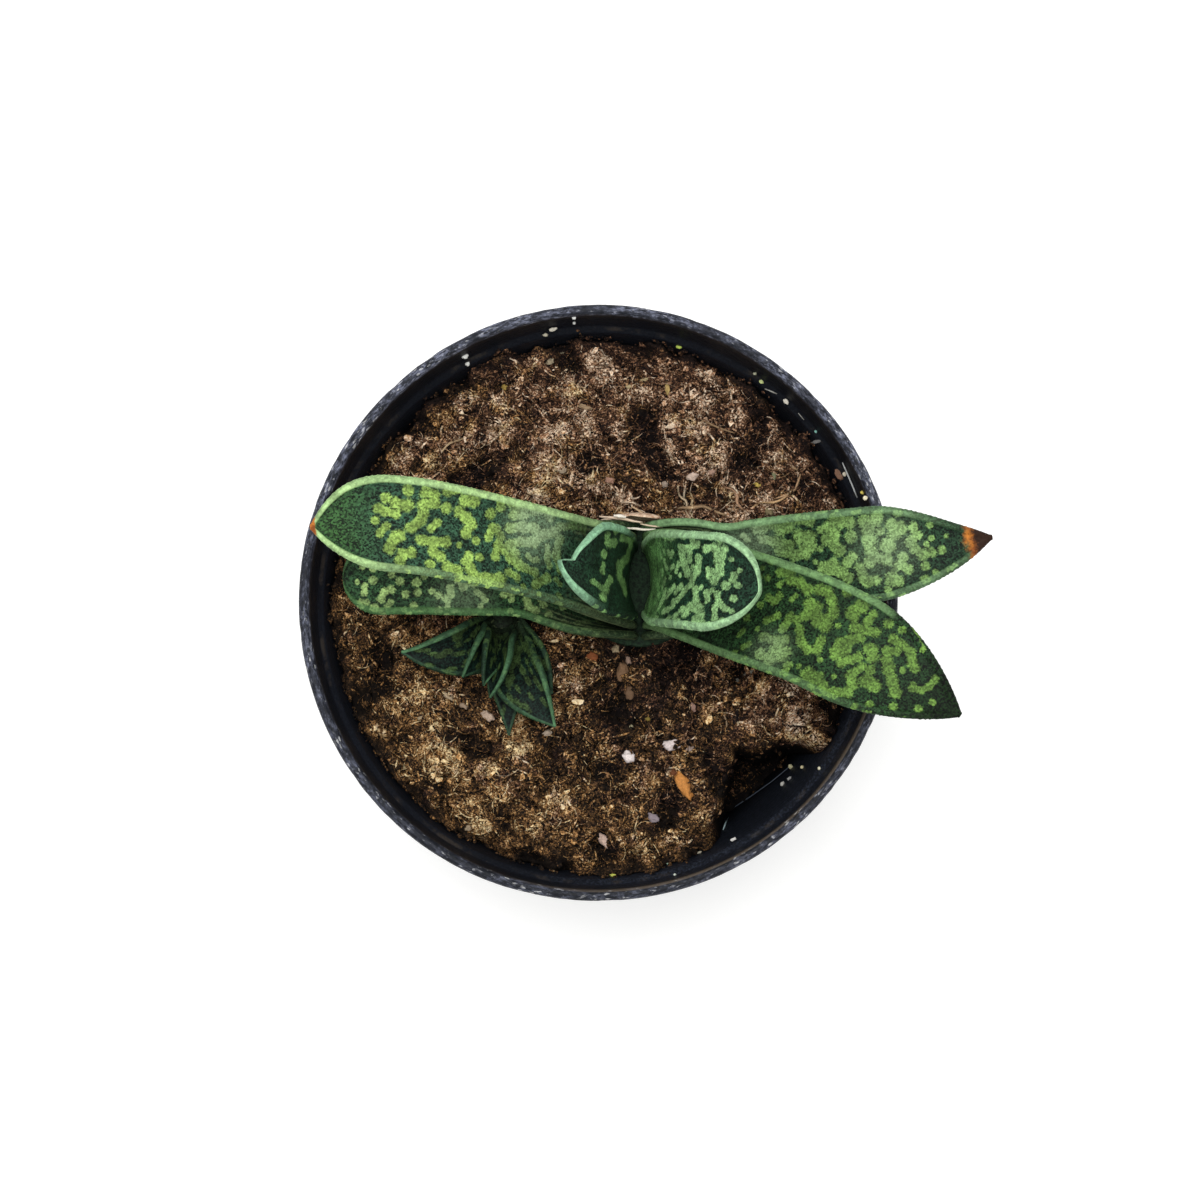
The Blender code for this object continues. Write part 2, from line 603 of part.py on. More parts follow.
def build():
    clear_scene()
    parts = new_collection("potted_gasteria")
    cutters = new_collection("cutters")
    make_pot(parts, cutters)
    make_soil(parts, cutters)
    make_stem("stem", PLANT, STEM_PROFILE, STEM_FLATTEN, CROWN, parts)
    for name, spec in LEAVES.items():
        make_leaf(name, spec, LEAF_STATIONS, LEAF_ACROSS, LEAF_GREEN, parts)
    make_leaf("dry_sheath", DRY_SHEATH, OFFSET_LEAF_STATIONS, OFFSET_LEAF_ACROSS, DRY_LEAF, parts)
    make_offset(parts)


build()
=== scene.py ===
# A spotted gasteria in its black nursery pot, looked at from straight above.
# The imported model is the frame; every piece here is a finer body laid over it.
import math
import random

import bmesh
import bpy
import numpy as np
from mathutils import Matrix, Vector, noise


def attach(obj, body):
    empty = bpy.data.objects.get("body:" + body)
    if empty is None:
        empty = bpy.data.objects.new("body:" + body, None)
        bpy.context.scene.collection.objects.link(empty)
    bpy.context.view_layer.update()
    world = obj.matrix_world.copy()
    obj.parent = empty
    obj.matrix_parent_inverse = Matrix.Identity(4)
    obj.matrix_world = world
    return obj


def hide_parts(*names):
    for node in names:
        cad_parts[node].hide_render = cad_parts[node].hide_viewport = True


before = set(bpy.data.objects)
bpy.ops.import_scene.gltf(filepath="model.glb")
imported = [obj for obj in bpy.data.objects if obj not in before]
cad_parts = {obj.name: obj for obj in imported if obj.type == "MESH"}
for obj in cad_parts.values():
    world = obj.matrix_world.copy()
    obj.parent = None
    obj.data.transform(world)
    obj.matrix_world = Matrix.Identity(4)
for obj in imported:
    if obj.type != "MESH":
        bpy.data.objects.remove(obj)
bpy.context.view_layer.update()        # bodies, nodes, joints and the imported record
mm = 0.001               # lengths below are millimetres
noise.seed_set(7)        # or noise_vector changes from run to run


def tint(red, green, blue):
    # a screen colour from 0 to 255, made linear for the shader
    shares = [c / 255 for c in (red, green, blue)]
    return (*(c / 12.92 if c < 0.0404 else ((c + 0.055) / 1.055) ** 2.4 for c in shares), 1.0)


def toned(colour, factor):
    return tint(*(min(255, c * factor) for c in colour))


def smoothstep(low, high, values):
    share = np.clip((values - low) / (high - low), 0.0, 1.0)
    return share * share * (3.0 - 2.0 * share)


def ease(low, high, value):
    # the same for one number
    share = min(1.0, max(0.0, (value - low) / (high - low)))
    return share * share * (3.0 - 2.0 * share)


def bump(centre, width, value):
    return np.exp(-((value - centre) / width) ** 2)


# Shaders: a Wire is one socket, and arithmetic on it adds Math nodes

class Wire:
    def __init__(self, tree, socket=None):
        self.tree = tree
        self.socket = socket

    def node(self, kind, settings=None, sockets=None, pick=0):
        made = self.tree.nodes.new("ShaderNode" + kind)
        for name, value in (settings or {}).items():
            if name == "stops":
                while len(made.color_ramp.elements) < len(value):
                    made.color_ramp.elements.new(0.5)
                for stop, (place, colour) in zip(made.color_ramp.elements, value):
                    stop.position, stop.color = place, colour
            else:
                setattr(made, name, value)
        for name, value in (sockets or {}).items():
            if isinstance(value, Wire):
                self.tree.links.new(value.socket, made.inputs[name])
            else:
                made.inputs[name].default_value = value
        return Wire(self.tree, made.outputs[pick])

    def math(self, operation, *values):
        return self.node("Math", {"operation": operation}, dict(enumerate(values)))

    def __add__(self, other):
        return self.math("ADD", self, other)

    def __sub__(self, other):
        return self.math("SUBTRACT", self, other)

    def __rsub__(self, other):
        return self.math("SUBTRACT", other, self)

    def __mul__(self, other):
        return self.math("MULTIPLY", self, other)

    def __truediv__(self, other):
        return self.math("DIVIDE", self, other)

    def __abs__(self):
        return self.math("ABSOLUTE", self)

    __radd__ = __add__
    __rmul__ = __mul__

    def clamp(self):
        return self.node("Clamp", {}, {"Value": self})

    def step(self, low, high):
        # 0 below low and 1 above high, with a soft passage
        return self.node("MapRange", {"interpolation_type": "SMOOTHSTEP"},
                         {"Value": self, "From Min": low, "From Max": high})

    def mix(self, first, second):
        # this wire is the factor, from the first colour to the second
        return self.node("Mix", {"data_type": "RGBA"}, {0: self, 6: first, 7: second}, pick=2)

    def shade(self, colour):
        # this wire multiplies a colour
        return self.node("VectorMath", {"operation": "SCALE"}, {0: colour, "Scale": self})


class Finish:
    # a material with its Principled shader, and the textures its maker reaches for
    def __init__(self, name):
        self.material = bpy.data.materials.new(name)
        self.material.use_nodes = True
        self.tree = self.material.node_tree
        self.shader = self.tree.nodes["Principled BSDF"]
        self.wire = Wire(self.tree)
        self.place = self.wire.node("TexCoord", {}, {}, pick=3)

    def field(self, name):
        return self.wire.node("Attribute", {"attribute_name": name}, {}, pick=2)

    def colourField(self, name):
        return self.wire.node("Attribute", {"attribute_name": name}, {}, pick=0)

    def noise(self, size, detail=3.0, roughness=0.55, distortion=0.0):
        sockets = {"Vector": self.place, "Scale": 1 / (size * mm), "Detail": detail,
                   "Roughness": roughness, "Distortion": distortion}
        return self.wire.node("TexNoise", {}, sockets)

    def cells(self, size):
        # small patches, each with a random number of its own
        colour = self.wire.node("TexVoronoi", {}, {"Vector": self.place, "Scale": 1 / (size * mm)}, pick=1)
        return self.wire.node("SeparateColor", {}, {0: colour})

    def strings(self, size, breadth):
        # thin curly lines, where a noise crosses its middle
        return 1 - abs(self.noise(size, 2.0, 0.6, distortion=1.4) - 0.5).step(0.2 * breadth, breadth)

    def split(self):
        # x, y and z of the place, in millimetres
        parts = self.wire.node("SeparateXYZ", {}, {0: self.place})
        return [Wire(self.tree, socket) * (1 / mm) for socket in parts.socket.node.outputs]

    def relief(self, height, depth):
        # depth in millimetres for a height from 0 to 1
        return self.wire.node("Bump", {}, {"Height": height, "Strength": 1.0, "Distance": depth * mm})

    def put(self, **sockets):
        for name, value in sockets.items():
            target = self.shader.inputs[name.replace("_", " ")]
            if isinstance(value, Wire):
                self.tree.links.new(value.socket, target)
            else:
                target.default_value = value
        return self.material


def makePiece(name, points, faces, finish, fields=None, sharp=None):
    # points in millimetres, with one number or one colour a point for each named field
    mesh = bpy.data.meshes.new(name)
    mesh.from_pydata((np.asarray(points, float) * mm).tolist(), [], faces)
    for field, values in (fields or {}).items():
        values = np.asarray(values, np.float32)
        isColour = values.shape[-1] == 4 and values.ndim > 1 and values.shape[0] == len(mesh.vertices)
        layer = mesh.attributes.new(field, "FLOAT_COLOR" if isColour else "FLOAT", "POINT")
        layer.data.foreach_set("color" if isColour else "value", values.ravel())
    mesh.shade_smooth()
    if sharp:
        mesh.set_sharp_from_angle(angle=math.radians(sharp))
    mesh.materials.append(finish)
    piece = bpy.data.objects.new(name, mesh)
    bpy.context.scene.collection.objects.link(piece)
    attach(piece, "root")
    return piece


def tubeFaces(rings, around):
    # quads between rings of points that follow one another, facing out for rings that turn left
    faces = []
    for j in range(rings - 1):
        for i in range(around):
            after = (i + 1) % around
            faces.append((j * around + i, (j + 1) * around + i, (j + 1) * around + after, j * around + after))
    return faces


# Camera, light and floor

view = {"eye": (0.3, -34.51, 586.96), "target": (0.3, 0.1, 92.0), "lens": 85.0, "sensor": 36.0,
        "sees": 20000.0}
studio = {"room": tint(255, 255, 255), "skylight": 0.84, "key": (-40.0, 90.0, 840.0), "keySize": 400.0,
          "keyPower": 3.9, "floor": tint(250, 250, 249), "floorShade": tint(247, 247, 246),
          "floorPatch": 60.0, "floorRoughness": 0.9, "floorGlow": 0.22, "floorSide": 4000.0,
          "floorDrop": 0.05}


def setStudio():
    scene = bpy.context.scene
    scene.view_settings.view_transform = "Standard"
    world = bpy.data.worlds.new("paleRoom")
    scene.world = world
    world.use_nodes = True
    sky = world.node_tree.nodes["Background"].inputs
    sky["Color"].default_value, sky["Strength"].default_value = studio["room"], studio["skylight"]
    lamp = bpy.data.lights.new("keyLamp", "AREA")
    lamp.shape = "DISK"
    lamp.size = studio["keySize"] * mm
    lamp.energy = studio["keyPower"]
    camera = bpy.data.cameras.new("topCamera")
    camera.lens = view["lens"]
    camera.sensor_width = view["sensor"]
    camera.clip_end = view["sees"] * mm
    eye, target = Vector(view["eye"]), Vector(view["target"])
    for name, data, place in (("keyLamp", lamp, Vector(studio["key"])), ("topCamera", camera, eye)):
        holder = bpy.data.objects.new(name, data)
        holder.location = place * mm
        holder.rotation_euler = (target - place).to_track_quat("-Z", "Y").to_euler()
        scene.collection.objects.link(holder)
    scene.camera = holder        # the loop ends with the camera
    finish = Finish("paleFloor")
    colour = finish.noise(studio["floorPatch"], 2.0).mix(studio["floor"], studio["floorShade"])
    mesh = bpy.data.meshes.new("floor")
    side, low = studio["floorSide"] * mm, -studio["floorDrop"] * mm
    corners = [(-side, -side, low), (side, -side, low), (side, side, low), (-side, side, low)]
    mesh.from_pydata(corners, [], [(0, 1, 2, 3)])
    mesh.materials.append(finish.put(Base_Color=colour, Roughness=studio["floorRoughness"],
                                     Emission_Color=studio["floor"], Emission_Strength=studio["floorGlow"]))
    floor = bpy.data.objects.new("floor", mesh)
    scene.collection.objects.link(floor)


setStudio()
print("studio ready")


# Pot: one black moulding with a rolled lip, a collar, a raised base and drain holes

pot = {"height": 92.0, "rim": 52.5, "base": 37.0, "wall": 1.0, "lip": 1.9, "collarHeight": 9.4,
       "collarIn": 50.0, "collarOut": 51.2, "ledgeRise": 1.1, "underCollar": 49.9, "floor": 1.2,
       "raise": 1.6, "pad": 12.0, "footIn": 32.0, "footBevel": 0.7, "holes": 8, "holeRadius": 3.6,
       "holeCircle": 22.0, "holeSides": 28, "steps": 240, "segments": 48, "gap": 0.3, "weld": 0.01,
       "innerRound": 0.25, "outerRound": 0.3, "lipSides": 12, "lipStep": 0.7, "step": 0.3,
       "dents": 0.17, "wobbles": ((0.10, 2, 0.6), (0.06, 5, 0.0)), "crease": 50}
# the lip's worn colour, dust and lime are the lip's scuffs together with a painted sheen towards its back,
# the inner wall's dust and the chalky line along the ledge
potLook = {"plastic": tint(15, 18, 25), "soot": tint(7, 9, 13), "wornAndSheen": tint(114, 118, 136),
           "dust": tint(60, 66, 80), "chalk": tint(200, 200, 198), "lime": tint(116, 102, 84),
           "grain": 0.34, "smear": 5.0, "scuff": 0.8, "speck": 0.26, "stretch": 17.0, "soil": 30.0,
           "lip": (1.7, 0.5), "dusty": (55.0, 66.0), "ledge": 0.7, "seam": (3.4, 2.6), "relief": 0.08}


def wallOuter(height):
    top = pot["height"] - pot["collarHeight"]
    return pot["base"] + (pot["underCollar"] - pot["base"]) * height / top


def mixReach(height):
    return (wallOuter(height) - pot["wall"]) * math.cos(math.pi / pot["segments"]) - pot["gap"]


def denser(points, spacing):
    # the same outline with points no further apart than the spacing
    dense = [points[0]]
    for a, b in zip(points, points[1:]):
        parts = max(1, math.ceil(math.dist(a, b) / spacing))
        dense += [(a[0] + (b[0] - a[0]) * i / parts, a[1] + (b[1] - a[1]) * i / parts)
                  for i in range(1, parts + 1)]
    return dense


def rounded(points, radius):
    # corners cut back by the radius and turned through three points
    made = [points[0]]
    for before, corner, after in zip(points, points[1:], points[2:]):
        before, corner, after = Vector(before), Vector(corner), Vector(after)
        cut = min(radius, 0.4 * (before - corner).length, 0.4 * (after - corner).length)
        start = corner + (before - corner).normalized() * cut
        end = corner + (after - corner).normalized() * cut
        middle = (start + end) / 4 + corner / 2
        made += [tuple(start), tuple(middle), tuple(end)]
    return made + [points[-1]]


def potOutline():
    ledge = pot["height"] - pot["collarHeight"]
    bead = pot["lip"] / 2
    slope = pot["raise"] / 2
    inside = [(0.0, pot["floor"]), (pot["pad"] - slope, pot["floor"]),
              (pot["pad"] + slope, pot["floor"] + pot["raise"]),
              (pot["footIn"] - slope, pot["floor"] + pot["raise"]), (pot["footIn"] + slope, pot["floor"]),
              (pot["base"] - 2 * pot["wall"], pot["floor"]),
              (wallOuter(2 * pot["floor"]) - pot["wall"], 2 * pot["floor"]),
              (wallOuter(ledge) - pot["wall"], ledge), (pot["collarIn"], ledge + pot["ledgeRise"]),
              (pot["rim"] - pot["lip"], pot["height"] - pot["lip"] - pot["lipStep"])]
    turns = [math.pi * (1 - i / pot["lipSides"]) for i in range(pot["lipSides"] + 1)]
    lip = [(pot["rim"] - bead + bead * math.cos(t), pot["height"] - bead + bead * math.sin(t)) for t in turns]
    outside = [(pot["rim"] - bead / 2, pot["height"] - pot["lip"]),
               (pot["collarOut"] + pot["step"], pot["height"] - pot["lip"] - pot["step"]),
               (pot["collarOut"], ledge + pot["ledgeRise"]), (wallOuter(ledge), ledge - pot["step"]),
               (wallOuter(pot["footBevel"]), pot["footBevel"]), (pot["base"] - pot["footBevel"], 0.0),
               (pot["footIn"] + slope, 0.0), (pot["footIn"] - slope, pot["raise"]),
               (pot["pad"] + slope, pot["raise"]), (pot["pad"] - slope, 0.0), (0.0, 0.0)]
    wide, fine = 3.0, 1.0        # the longest faces of the walls and of the lip
    return (denser(rounded(inside, pot["innerRound"]), wide) + denser(lip, fine)
            + denser(rounded(outside, pot["outerRound"]), wide))


def plasticFinish():
    finish = Finish("blackPlastic")
    look, top = potLook, pot["height"]
    shelf = top - pot["collarHeight"]
    x, y, z = finish.split()
    radius = finish.wire.math("SQRT", x * x + y * y)
    grain = finish.noise(look["grain"], 2.0, 0.75)
    smear = finish.noise(look["smear"], 4.0, 0.7)
    lip = z.step(top - look["lip"][0], top - look["lip"][1])
    lowRight = ((x * 0.68 - y * 0.73) / radius).step(0.40, 0.95)      # 1 on the lower right, by the hollow in the mix, where the wall's dust and the seam are made lighter
    slope = (pot["underCollar"] - pot["base"]) / shelf
    # inner is 1 on the inside of the wall: nearer the axis than the middle of its thickness
    middle = z * slope + pot["base"] - 0.5 * pot["wall"] + z.step(shelf - 0.2, shelf + 1.0) * 1.2
    inner = (finish.wire.math("MINIMUM", middle, 50.9) - radius).step(0.0, 0.2)
    straight, turn = finish.place, finish.wire.math("ARCTAN2", y, x)
    bent = {"X": radius * mm, "Y": turn * (look["stretch"] * mm), "Z": z * mm}
    finish.place = finish.wire.node("CombineXYZ", {}, bent)     # scuffs run along the lip
    coarse, cell = finish.noise(look["scuff"], 4.0, 0.8), finish.cells(look["speck"])
    finish.place = straight
    back = 0.98 + 0.43 * (y / radius)        # painted sheen: the lip is lighter at the back than at the front, where light falls on it
    wornAndSheen = coarse.step(0.40, 0.64) * (0.14 + 0.6 * smear.step(0.38, 0.62)) * (0.3 + 1.2 * cell)
    # the lip's scuffs, with a thin painted sheen over all of it that grows towards the back
    wornAndSheen = (lip * back * (0.03 + wornAndSheen)).clamp()
    chalky = lip * cell.step(0.86, 0.96) * (coarse.step(0.50, 0.62) * 0.4 + smear.step(0.52, 0.62) * 0.45)
    dusty = inner * z.step(*look["dusty"]) * (0.05 + grain.step(0.42, 0.7) * (0.10 + 0.5 * lowRight))
    ledge = (1 - abs(z - (shelf + look["ledge"])).step(0.15, 0.5)) * inner * smear.step(0.48, 0.66) * 0.15
    seam = (1 - abs(radius - (pot["rim"] - pot["lip"])).step(0.1, 0.35))
    seam = seam * z.step(top - look["seam"][0], top - look["seam"][1]) * (0.05 + 0.5 * lowRight)
    colour = finish.noise(look["soil"], 2.0).mix(look["soot"], look["plastic"])
    colour = wornAndSheen.mix(colour, look["wornAndSheen"])
    colour = dusty.clamp().mix(colour, look["dust"])
    colour = (ledge + seam).clamp().mix(colour, look["lime"])
    colour = chalky.mix(colour, look["chalk"])
    height = grain * 0.6 + finish.noise(1.4, 3.0).step(0.3, 0.8)
    return finish.put(Base_Color=colour, Roughness=(0.46 + wornAndSheen * 0.3 + grain * 0.1).clamp(),
                      Normal=finish.relief(height, look["relief"]), Specular_IOR_Level=0.16)


def drillPot(piece):
    # welds the turned body and cuts the drain holes
    work = bmesh.new()
    work.from_mesh(piece.data)
    bmesh.ops.remove_doubles(work, verts=work.verts, dist=pot["weld"] * mm)
    bmesh.ops.dissolve_degenerate(work, edges=work.edges, dist=0.1 * pot["weld"] * mm)
    bmesh.ops.recalc_face_normals(work, faces=work.faces)
    work.to_mesh(piece.data)
    work.clear()
    for i in range(pot["holes"]):
        angle = 2 * math.pi * (i + 0.5) / pot["holes"]
        spot = Vector((math.cos(angle), math.sin(angle), 0.0)) * pot["holeCircle"] * mm
        spot.z = (pot["raise"] + pot["floor"] / 2) * mm
        radius = pot["holeRadius"] * mm
        bmesh.ops.create_cone(work, cap_ends=True, segments=pot["holeSides"], radius1=radius, radius2=radius,
                              depth=3 * pot["floor"] * mm, matrix=Matrix.Translation(spot))
    cutter = bpy.data.objects.new("drainHoles", bpy.data.meshes.new("drainHoles"))
    work.to_mesh(cutter.data)
    work.free()
    bpy.context.scene.collection.objects.link(cutter)
    drill = piece.modifiers.new("drill", "BOOLEAN")
    drill.operation = "DIFFERENCE"
    drill.solver = "EXACT"
    drill.object = cutter
    bpy.context.view_layer.update()
    evaluated = piece.evaluated_get(bpy.context.evaluated_depsgraph_get())
    drilled = bpy.data.meshes.new_from_object(evaluated)
    piece.modifiers.clear()
    piece.data = drilled
    bpy.data.objects.remove(cutter)
    drilled.shade_smooth()
    drilled.set_sharp_from_angle(angle=math.radians(pot["crease"]))


def makePot():
    outline = potOutline()
    points = []
    for step in range(pot["steps"]):
        angle = 2 * math.pi * step / pot["steps"]
        way = Vector((math.cos(angle), math.sin(angle), 0.0))
        wobble = sum(size * math.sin(count * angle + start) for size, count, start in pot["wobbles"])
        dent = pot["dents"] * (noise.noise(way * 14.0) + 0.7 * noise.noise(way * 34.0))
        for radius, height in outline:
            push = wobble * ease(40.0, pot["height"], height) if radius > 45 else 0.0
            if radius > pot["rim"] - pot["lip"] / 2:
                push += min(0.0, dent) * ease(pot["height"] - 4.0, pot["height"] - 1.0, height)
            points.append(((radius + push) * way.x, (radius + push) * way.y, height))
    count, faces = len(outline), []
    for step in range(pot["steps"]):
        here, there = step * count, (step + 1) % pot["steps"] * count
        faces += [(here + i, there + i, there + i + 1, here + i + 1) for i in range(count - 1)]
    piece = makePiece("nurseryPot", points, faces, plasticFinish())
    drillPot(piece)
    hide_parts("pot")


makePot()
print("pot ready")


# Potting mix: the imported surface, with clods and grit on it

# tone, pitShade, dark and edgeShade set the painted shade of the mix: in the gaps between clods, in pits, low
# in the hollow and by the wall
mix = {"level": 81.6, "mounds": 2.4, "moundSize": 17.0, "crumbs": 2.4, "crumbSize": 5.0, "edgeDrop": 1.8,
       "edge": (41.0, 48.0), "hollowAngle": -46.5, "hollowInner": 36.0, "hollowSlants": (0.48, 0.62),
       "hollowRagged": 1.6, "hollowSlope": (1.0, 3.2), "hollowDepth": 24.0, "rings": 128, "segments": 430,
       "crowding": 0.8, "clods": 1.1, "clodSize": 5.6, "grit": 1.7, "gritSize": 1.5, "ragged": 3.2,
       "raggedSize": 3.4, "raggedEdge": (44.6, 48.0), "pits": 2.4, "pitSize": 6.5, "sunk": 2.0,
       "tone": (0.27, 0.72), "pitShade": 0.85, "edgeShade": 0.6, "dark": (12.0, 4.0)}
clearings = [  # spot, level and how far the mix lies flat about it
    ((7.4, 4.2), 78.6, 13.0, 20.0), ((-17.4, -3.4), 79.4, 5.0, 12.0), ((-19.4, -12.4), 79.4, 11.0, 17.0),
]
domes = [  # spot, reach, height and how much lighter
    ((-13.8, -24.9), 3.2, 2.2, 0.50), ((-36.0, -12.6), 3.0, 1.8, 0.20), ((22.9, 29.3), 1.8, 1.1, 0.45),
    ((2.1, 22.1), 2.2, 1.2, 0.22), ((33.3, -17.0), 7.5, 1.8, 0.16), ((-28.2, -25.9), 6.5, 1.6, 0.30),
    ((-22.8, -39.0), 5.5, 1.2, 0.36), ((16.0, 37.0), 7.0, 0.8, 0.12), ((33.0, 24.0), 5.0, 1.4, 0.10),
    ((-9.8, 22.8), 5.4, 1.3, 0.50), ((-26.6, 26.1), 6.0, 1.4, 0.28), ((-34.0, 14.0), 4.0, 0.8, 0.10),
]
drifts = [  # spot, reach and how much lighter or darker
    ((7.4, -15.0), 12.0, -0.44), ((-14.0, -5.0), 8.0, -0.30), ((19.0, 17.0), 7.0, -0.16),
    ((2.0, 33.0), 17.0, 0.20), ((-6.0, 20.0), 5.0, -0.05), ((-35.0, -2.0), 7.0, -0.30),
    ((10.0, -27.0), 9.0, -0.14), ((30.0, 33.0), 4.0, -0.2),
]
peatLook = {"rusty": ((13, 11, 12), (44, 32, 28), (112, 79, 58), (198, 150, 112), (252, 230, 202)),
            "golden": ((14, 12, 12), (46, 36, 27), (120, 88, 57), (208, 154, 93), (252, 230, 180)),
            "grain": 0.45, "speck": 0.28, "clump": 4.0, "warmth": 4.5, "warmFront": 0.0022, "relief": 0.25,
            "drift": 0.18, "driftSize": 8.0, "middle": 0.56, "spread": 0.27, "straw": 0.3, "strawShare": 0.14}


def mixHeight(x, y):
    radius = math.hypot(x, y)
    place = Vector((x, y, 3.7))
    height = mix["level"] + mix["mounds"] * noise.fractal(place / mix["moundSize"], 1.0, 2.0, 2)
    height += mix["crumbs"] * noise.fractal(place / mix["crumbSize"], 0.8, 2.0, 2)
    height -= mix["edgeDrop"] * ease(*mix["edge"], radius)
    for centre, level, near, far in clearings:
        away = math.hypot(x - centre[0], y - centre[1])
        height += (level - height) * (1.0 - ease(near, far, away)) * 0.92
    off = math.degrees(math.atan2(y, x)) - mix["hollowAngle"]
    inner = mix["hollowInner"] + abs(off) * mix["hollowSlants"][off > 0.0]
    inner += mix["hollowRagged"] * noise.noise(place / mix["crumbSize"])
    before, after = mix["hollowSlope"]
    return height - mix["hollowDepth"] * ease(inner - before, inner + after, radius)


def peatDrift(x, y):
    # how much lighter or darker the mix is about a spot
    light = sum(rise * (1 - ease(0.55 * reach, reach, math.dist((x, y), spot)))
                for spot, reach, _, rise in domes)
    return light + sum(rise * math.exp(-(math.dist((x, y), spot) / reach) ** 2)
                       for spot, reach, rise in drifts)


def surfaceHeight(x, y):
    # the imported surface with clods, grit and a ragged edge; also how much painted shade darkens the place,
    # in the gaps between clods, in pits, low in the hollow and near the wall
    place, radius = Vector((x, y, 9.1)), math.hypot(x, y)
    near = noise.voronoi(place / mix["clodSize"] + 0.35 * noise.noise_vector(place / 3.0))[0]
    gap = min(1.0, (near[1] - near[0]) * 2.2)
    relief = mix["clods"] * (gap - 0.75) + mix["grit"] * noise.fractal(place / mix["gritSize"], 0.7, 2.0, 3)
    edge = ease(*mix["raggedEdge"], radius) * ease(-0.15, 0.35, noise.noise(place / mix["raggedSize"]))
    pit = ease(0.16, 0.5, noise.noise(place / mix["pitSize"]))
    for spot, reach, rise, _ in domes:
        relief += rise * (1 - ease(0.0, reach, math.dist((x, y), spot)))
    height = mixHeight(x, y)
    # painted shade: darker in the gaps between clods, in pits, low in the hollow and near the wall
    paintedShading = (mix["tone"][0] + mix["tone"][1] * gap) * (1 - mix["pitShade"] * pit)
    paintedShading *= ease(mix["level"] - mix["dark"][0], mix["level"] - mix["dark"][1], height)
    paintedShading *= 1 - mix["edgeShade"] * ease(44.5, 48.0, radius)
    crown = 1 - ease(8.0, 11.0, math.dist((x, y), clearings[0][0]))      # out of sight below the crown
    height = height + relief * (1 - crown) - mix["sunk"] * crown - mix["ragged"] * edge - mix["pits"] * pit
    return height, paintedShading


def peatFinish(name, loose=False):
    # loose is for the shreds, fibres and crumbs, which have a tone of their own
    finish, look = Finish(name), peatLook
    fine, cell = finish.noise(look["grain"], 4.0, 0.8), finish.cells(look["speck"])
    # the tone holds the mix's own tones and the painted shade of its gaps, pits, hollow and edge
    tone = finish.field("tone")
    if loose:
        mixed = tone + (fine - 0.5) * 1.7 + (cell - 0.5) * 0.5
    else:
        clump = finish.noise(look["clump"], 3.0, 0.6)
        lines = finish.strings(1.5, 0.035) * 0.30 + finish.strings(0.8, 0.05) * 0.22
        mixed = (fine - 0.5) * 3.6 + (clump - 0.5) * 1.3 + (cell - 0.5) * 0.9 + 0.45 + lines
        mixed = mixed * (0.05 + tone)
    ramps = []
    for colours in (look["rusty"], look["golden"]):
        stops = [(k / 4, tint(*colour)) for k, colour in enumerate(colours)]
        ramps.append(finish.wire.node("ValToRGB", {"stops": stops}, {"Fac": mixed.clamp()}))
    x, y, _ = finish.split()
    warm = finish.noise(look["warmth"], 3.0, 0.7) - (x + y) * look["warmFront"]     # golden at the left front
    colour = warm.step(0.4, 0.6).mix(*ramps)
    height = fine + finish.noise(0.16, 2.0, 0.6) * 0.5
    return finish.put(Base_Color=colour, Roughness=(0.85 + fine * 0.15).clamp(), Specular_IOR_Level=0.1,
                      Normal=finish.relief(height, look["relief"]))


def makeMix():
    rings, segments, full = mix["rings"], mix["segments"], mixReach(mix["level"])
    height, paintedShading = surfaceHeight(0.0, 0.0)
    points, tones = [(0.0, 0.0, height)], [paintedShading]
    for ring in range(1, rings + 1):
        share = (ring / rings) ** mix["crowding"]
        for step in range(segments):
            angle = 2 * math.pi * (step + 0.5 * (ring % 2)) / segments
            way = (math.cos(angle), math.sin(angle))
            edge = mixReach(mixHeight(way[0] * full, way[1] * full))
            x, y = way[0] * share * edge, way[1] * share * edge
            height, paintedShading = surfaceHeight(x, y)
            tones.append(max(0.0, paintedShading * (1 + peatDrift(x, y))))
            if ring == rings:
                x, y = way[0] * mixReach(height), way[1] * mixReach(height)
            points.append((x, y, height))
    floor = pot["floor"] + pot["raise"] + pot["gap"]
    for step in range(segments):
        angle = 2 * math.pi * (step + 0.5 * (rings % 2)) / segments
        points.append((mixReach(floor) * math.cos(angle), mixReach(floor) * math.sin(angle), floor))
        tones.append(0.5)
    faces = [(0, 1 + i, 1 + (i + 1) % segments) for i in range(segments)]
    for ring in range(rings):
        here, there = 1 + ring * segments, 1 + (ring + 1) * segments
        for i in range(segments):
            after = (i + 1) % segments
            faces.append((here + i, there + i, there + after, here + after))
    last = 1 + rings * segments
    faces.append(tuple(last + i for i in reversed(range(segments))))
    piece = makePiece("peatSurface", points, faces, peatFinish("peatMix"), {"tone": tones})
    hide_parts("potting_mix")


makeMix()
print("mix ready")


# Shreds, curled fibres and crumbs that lie on the mix; a heap gathers the points of many small things

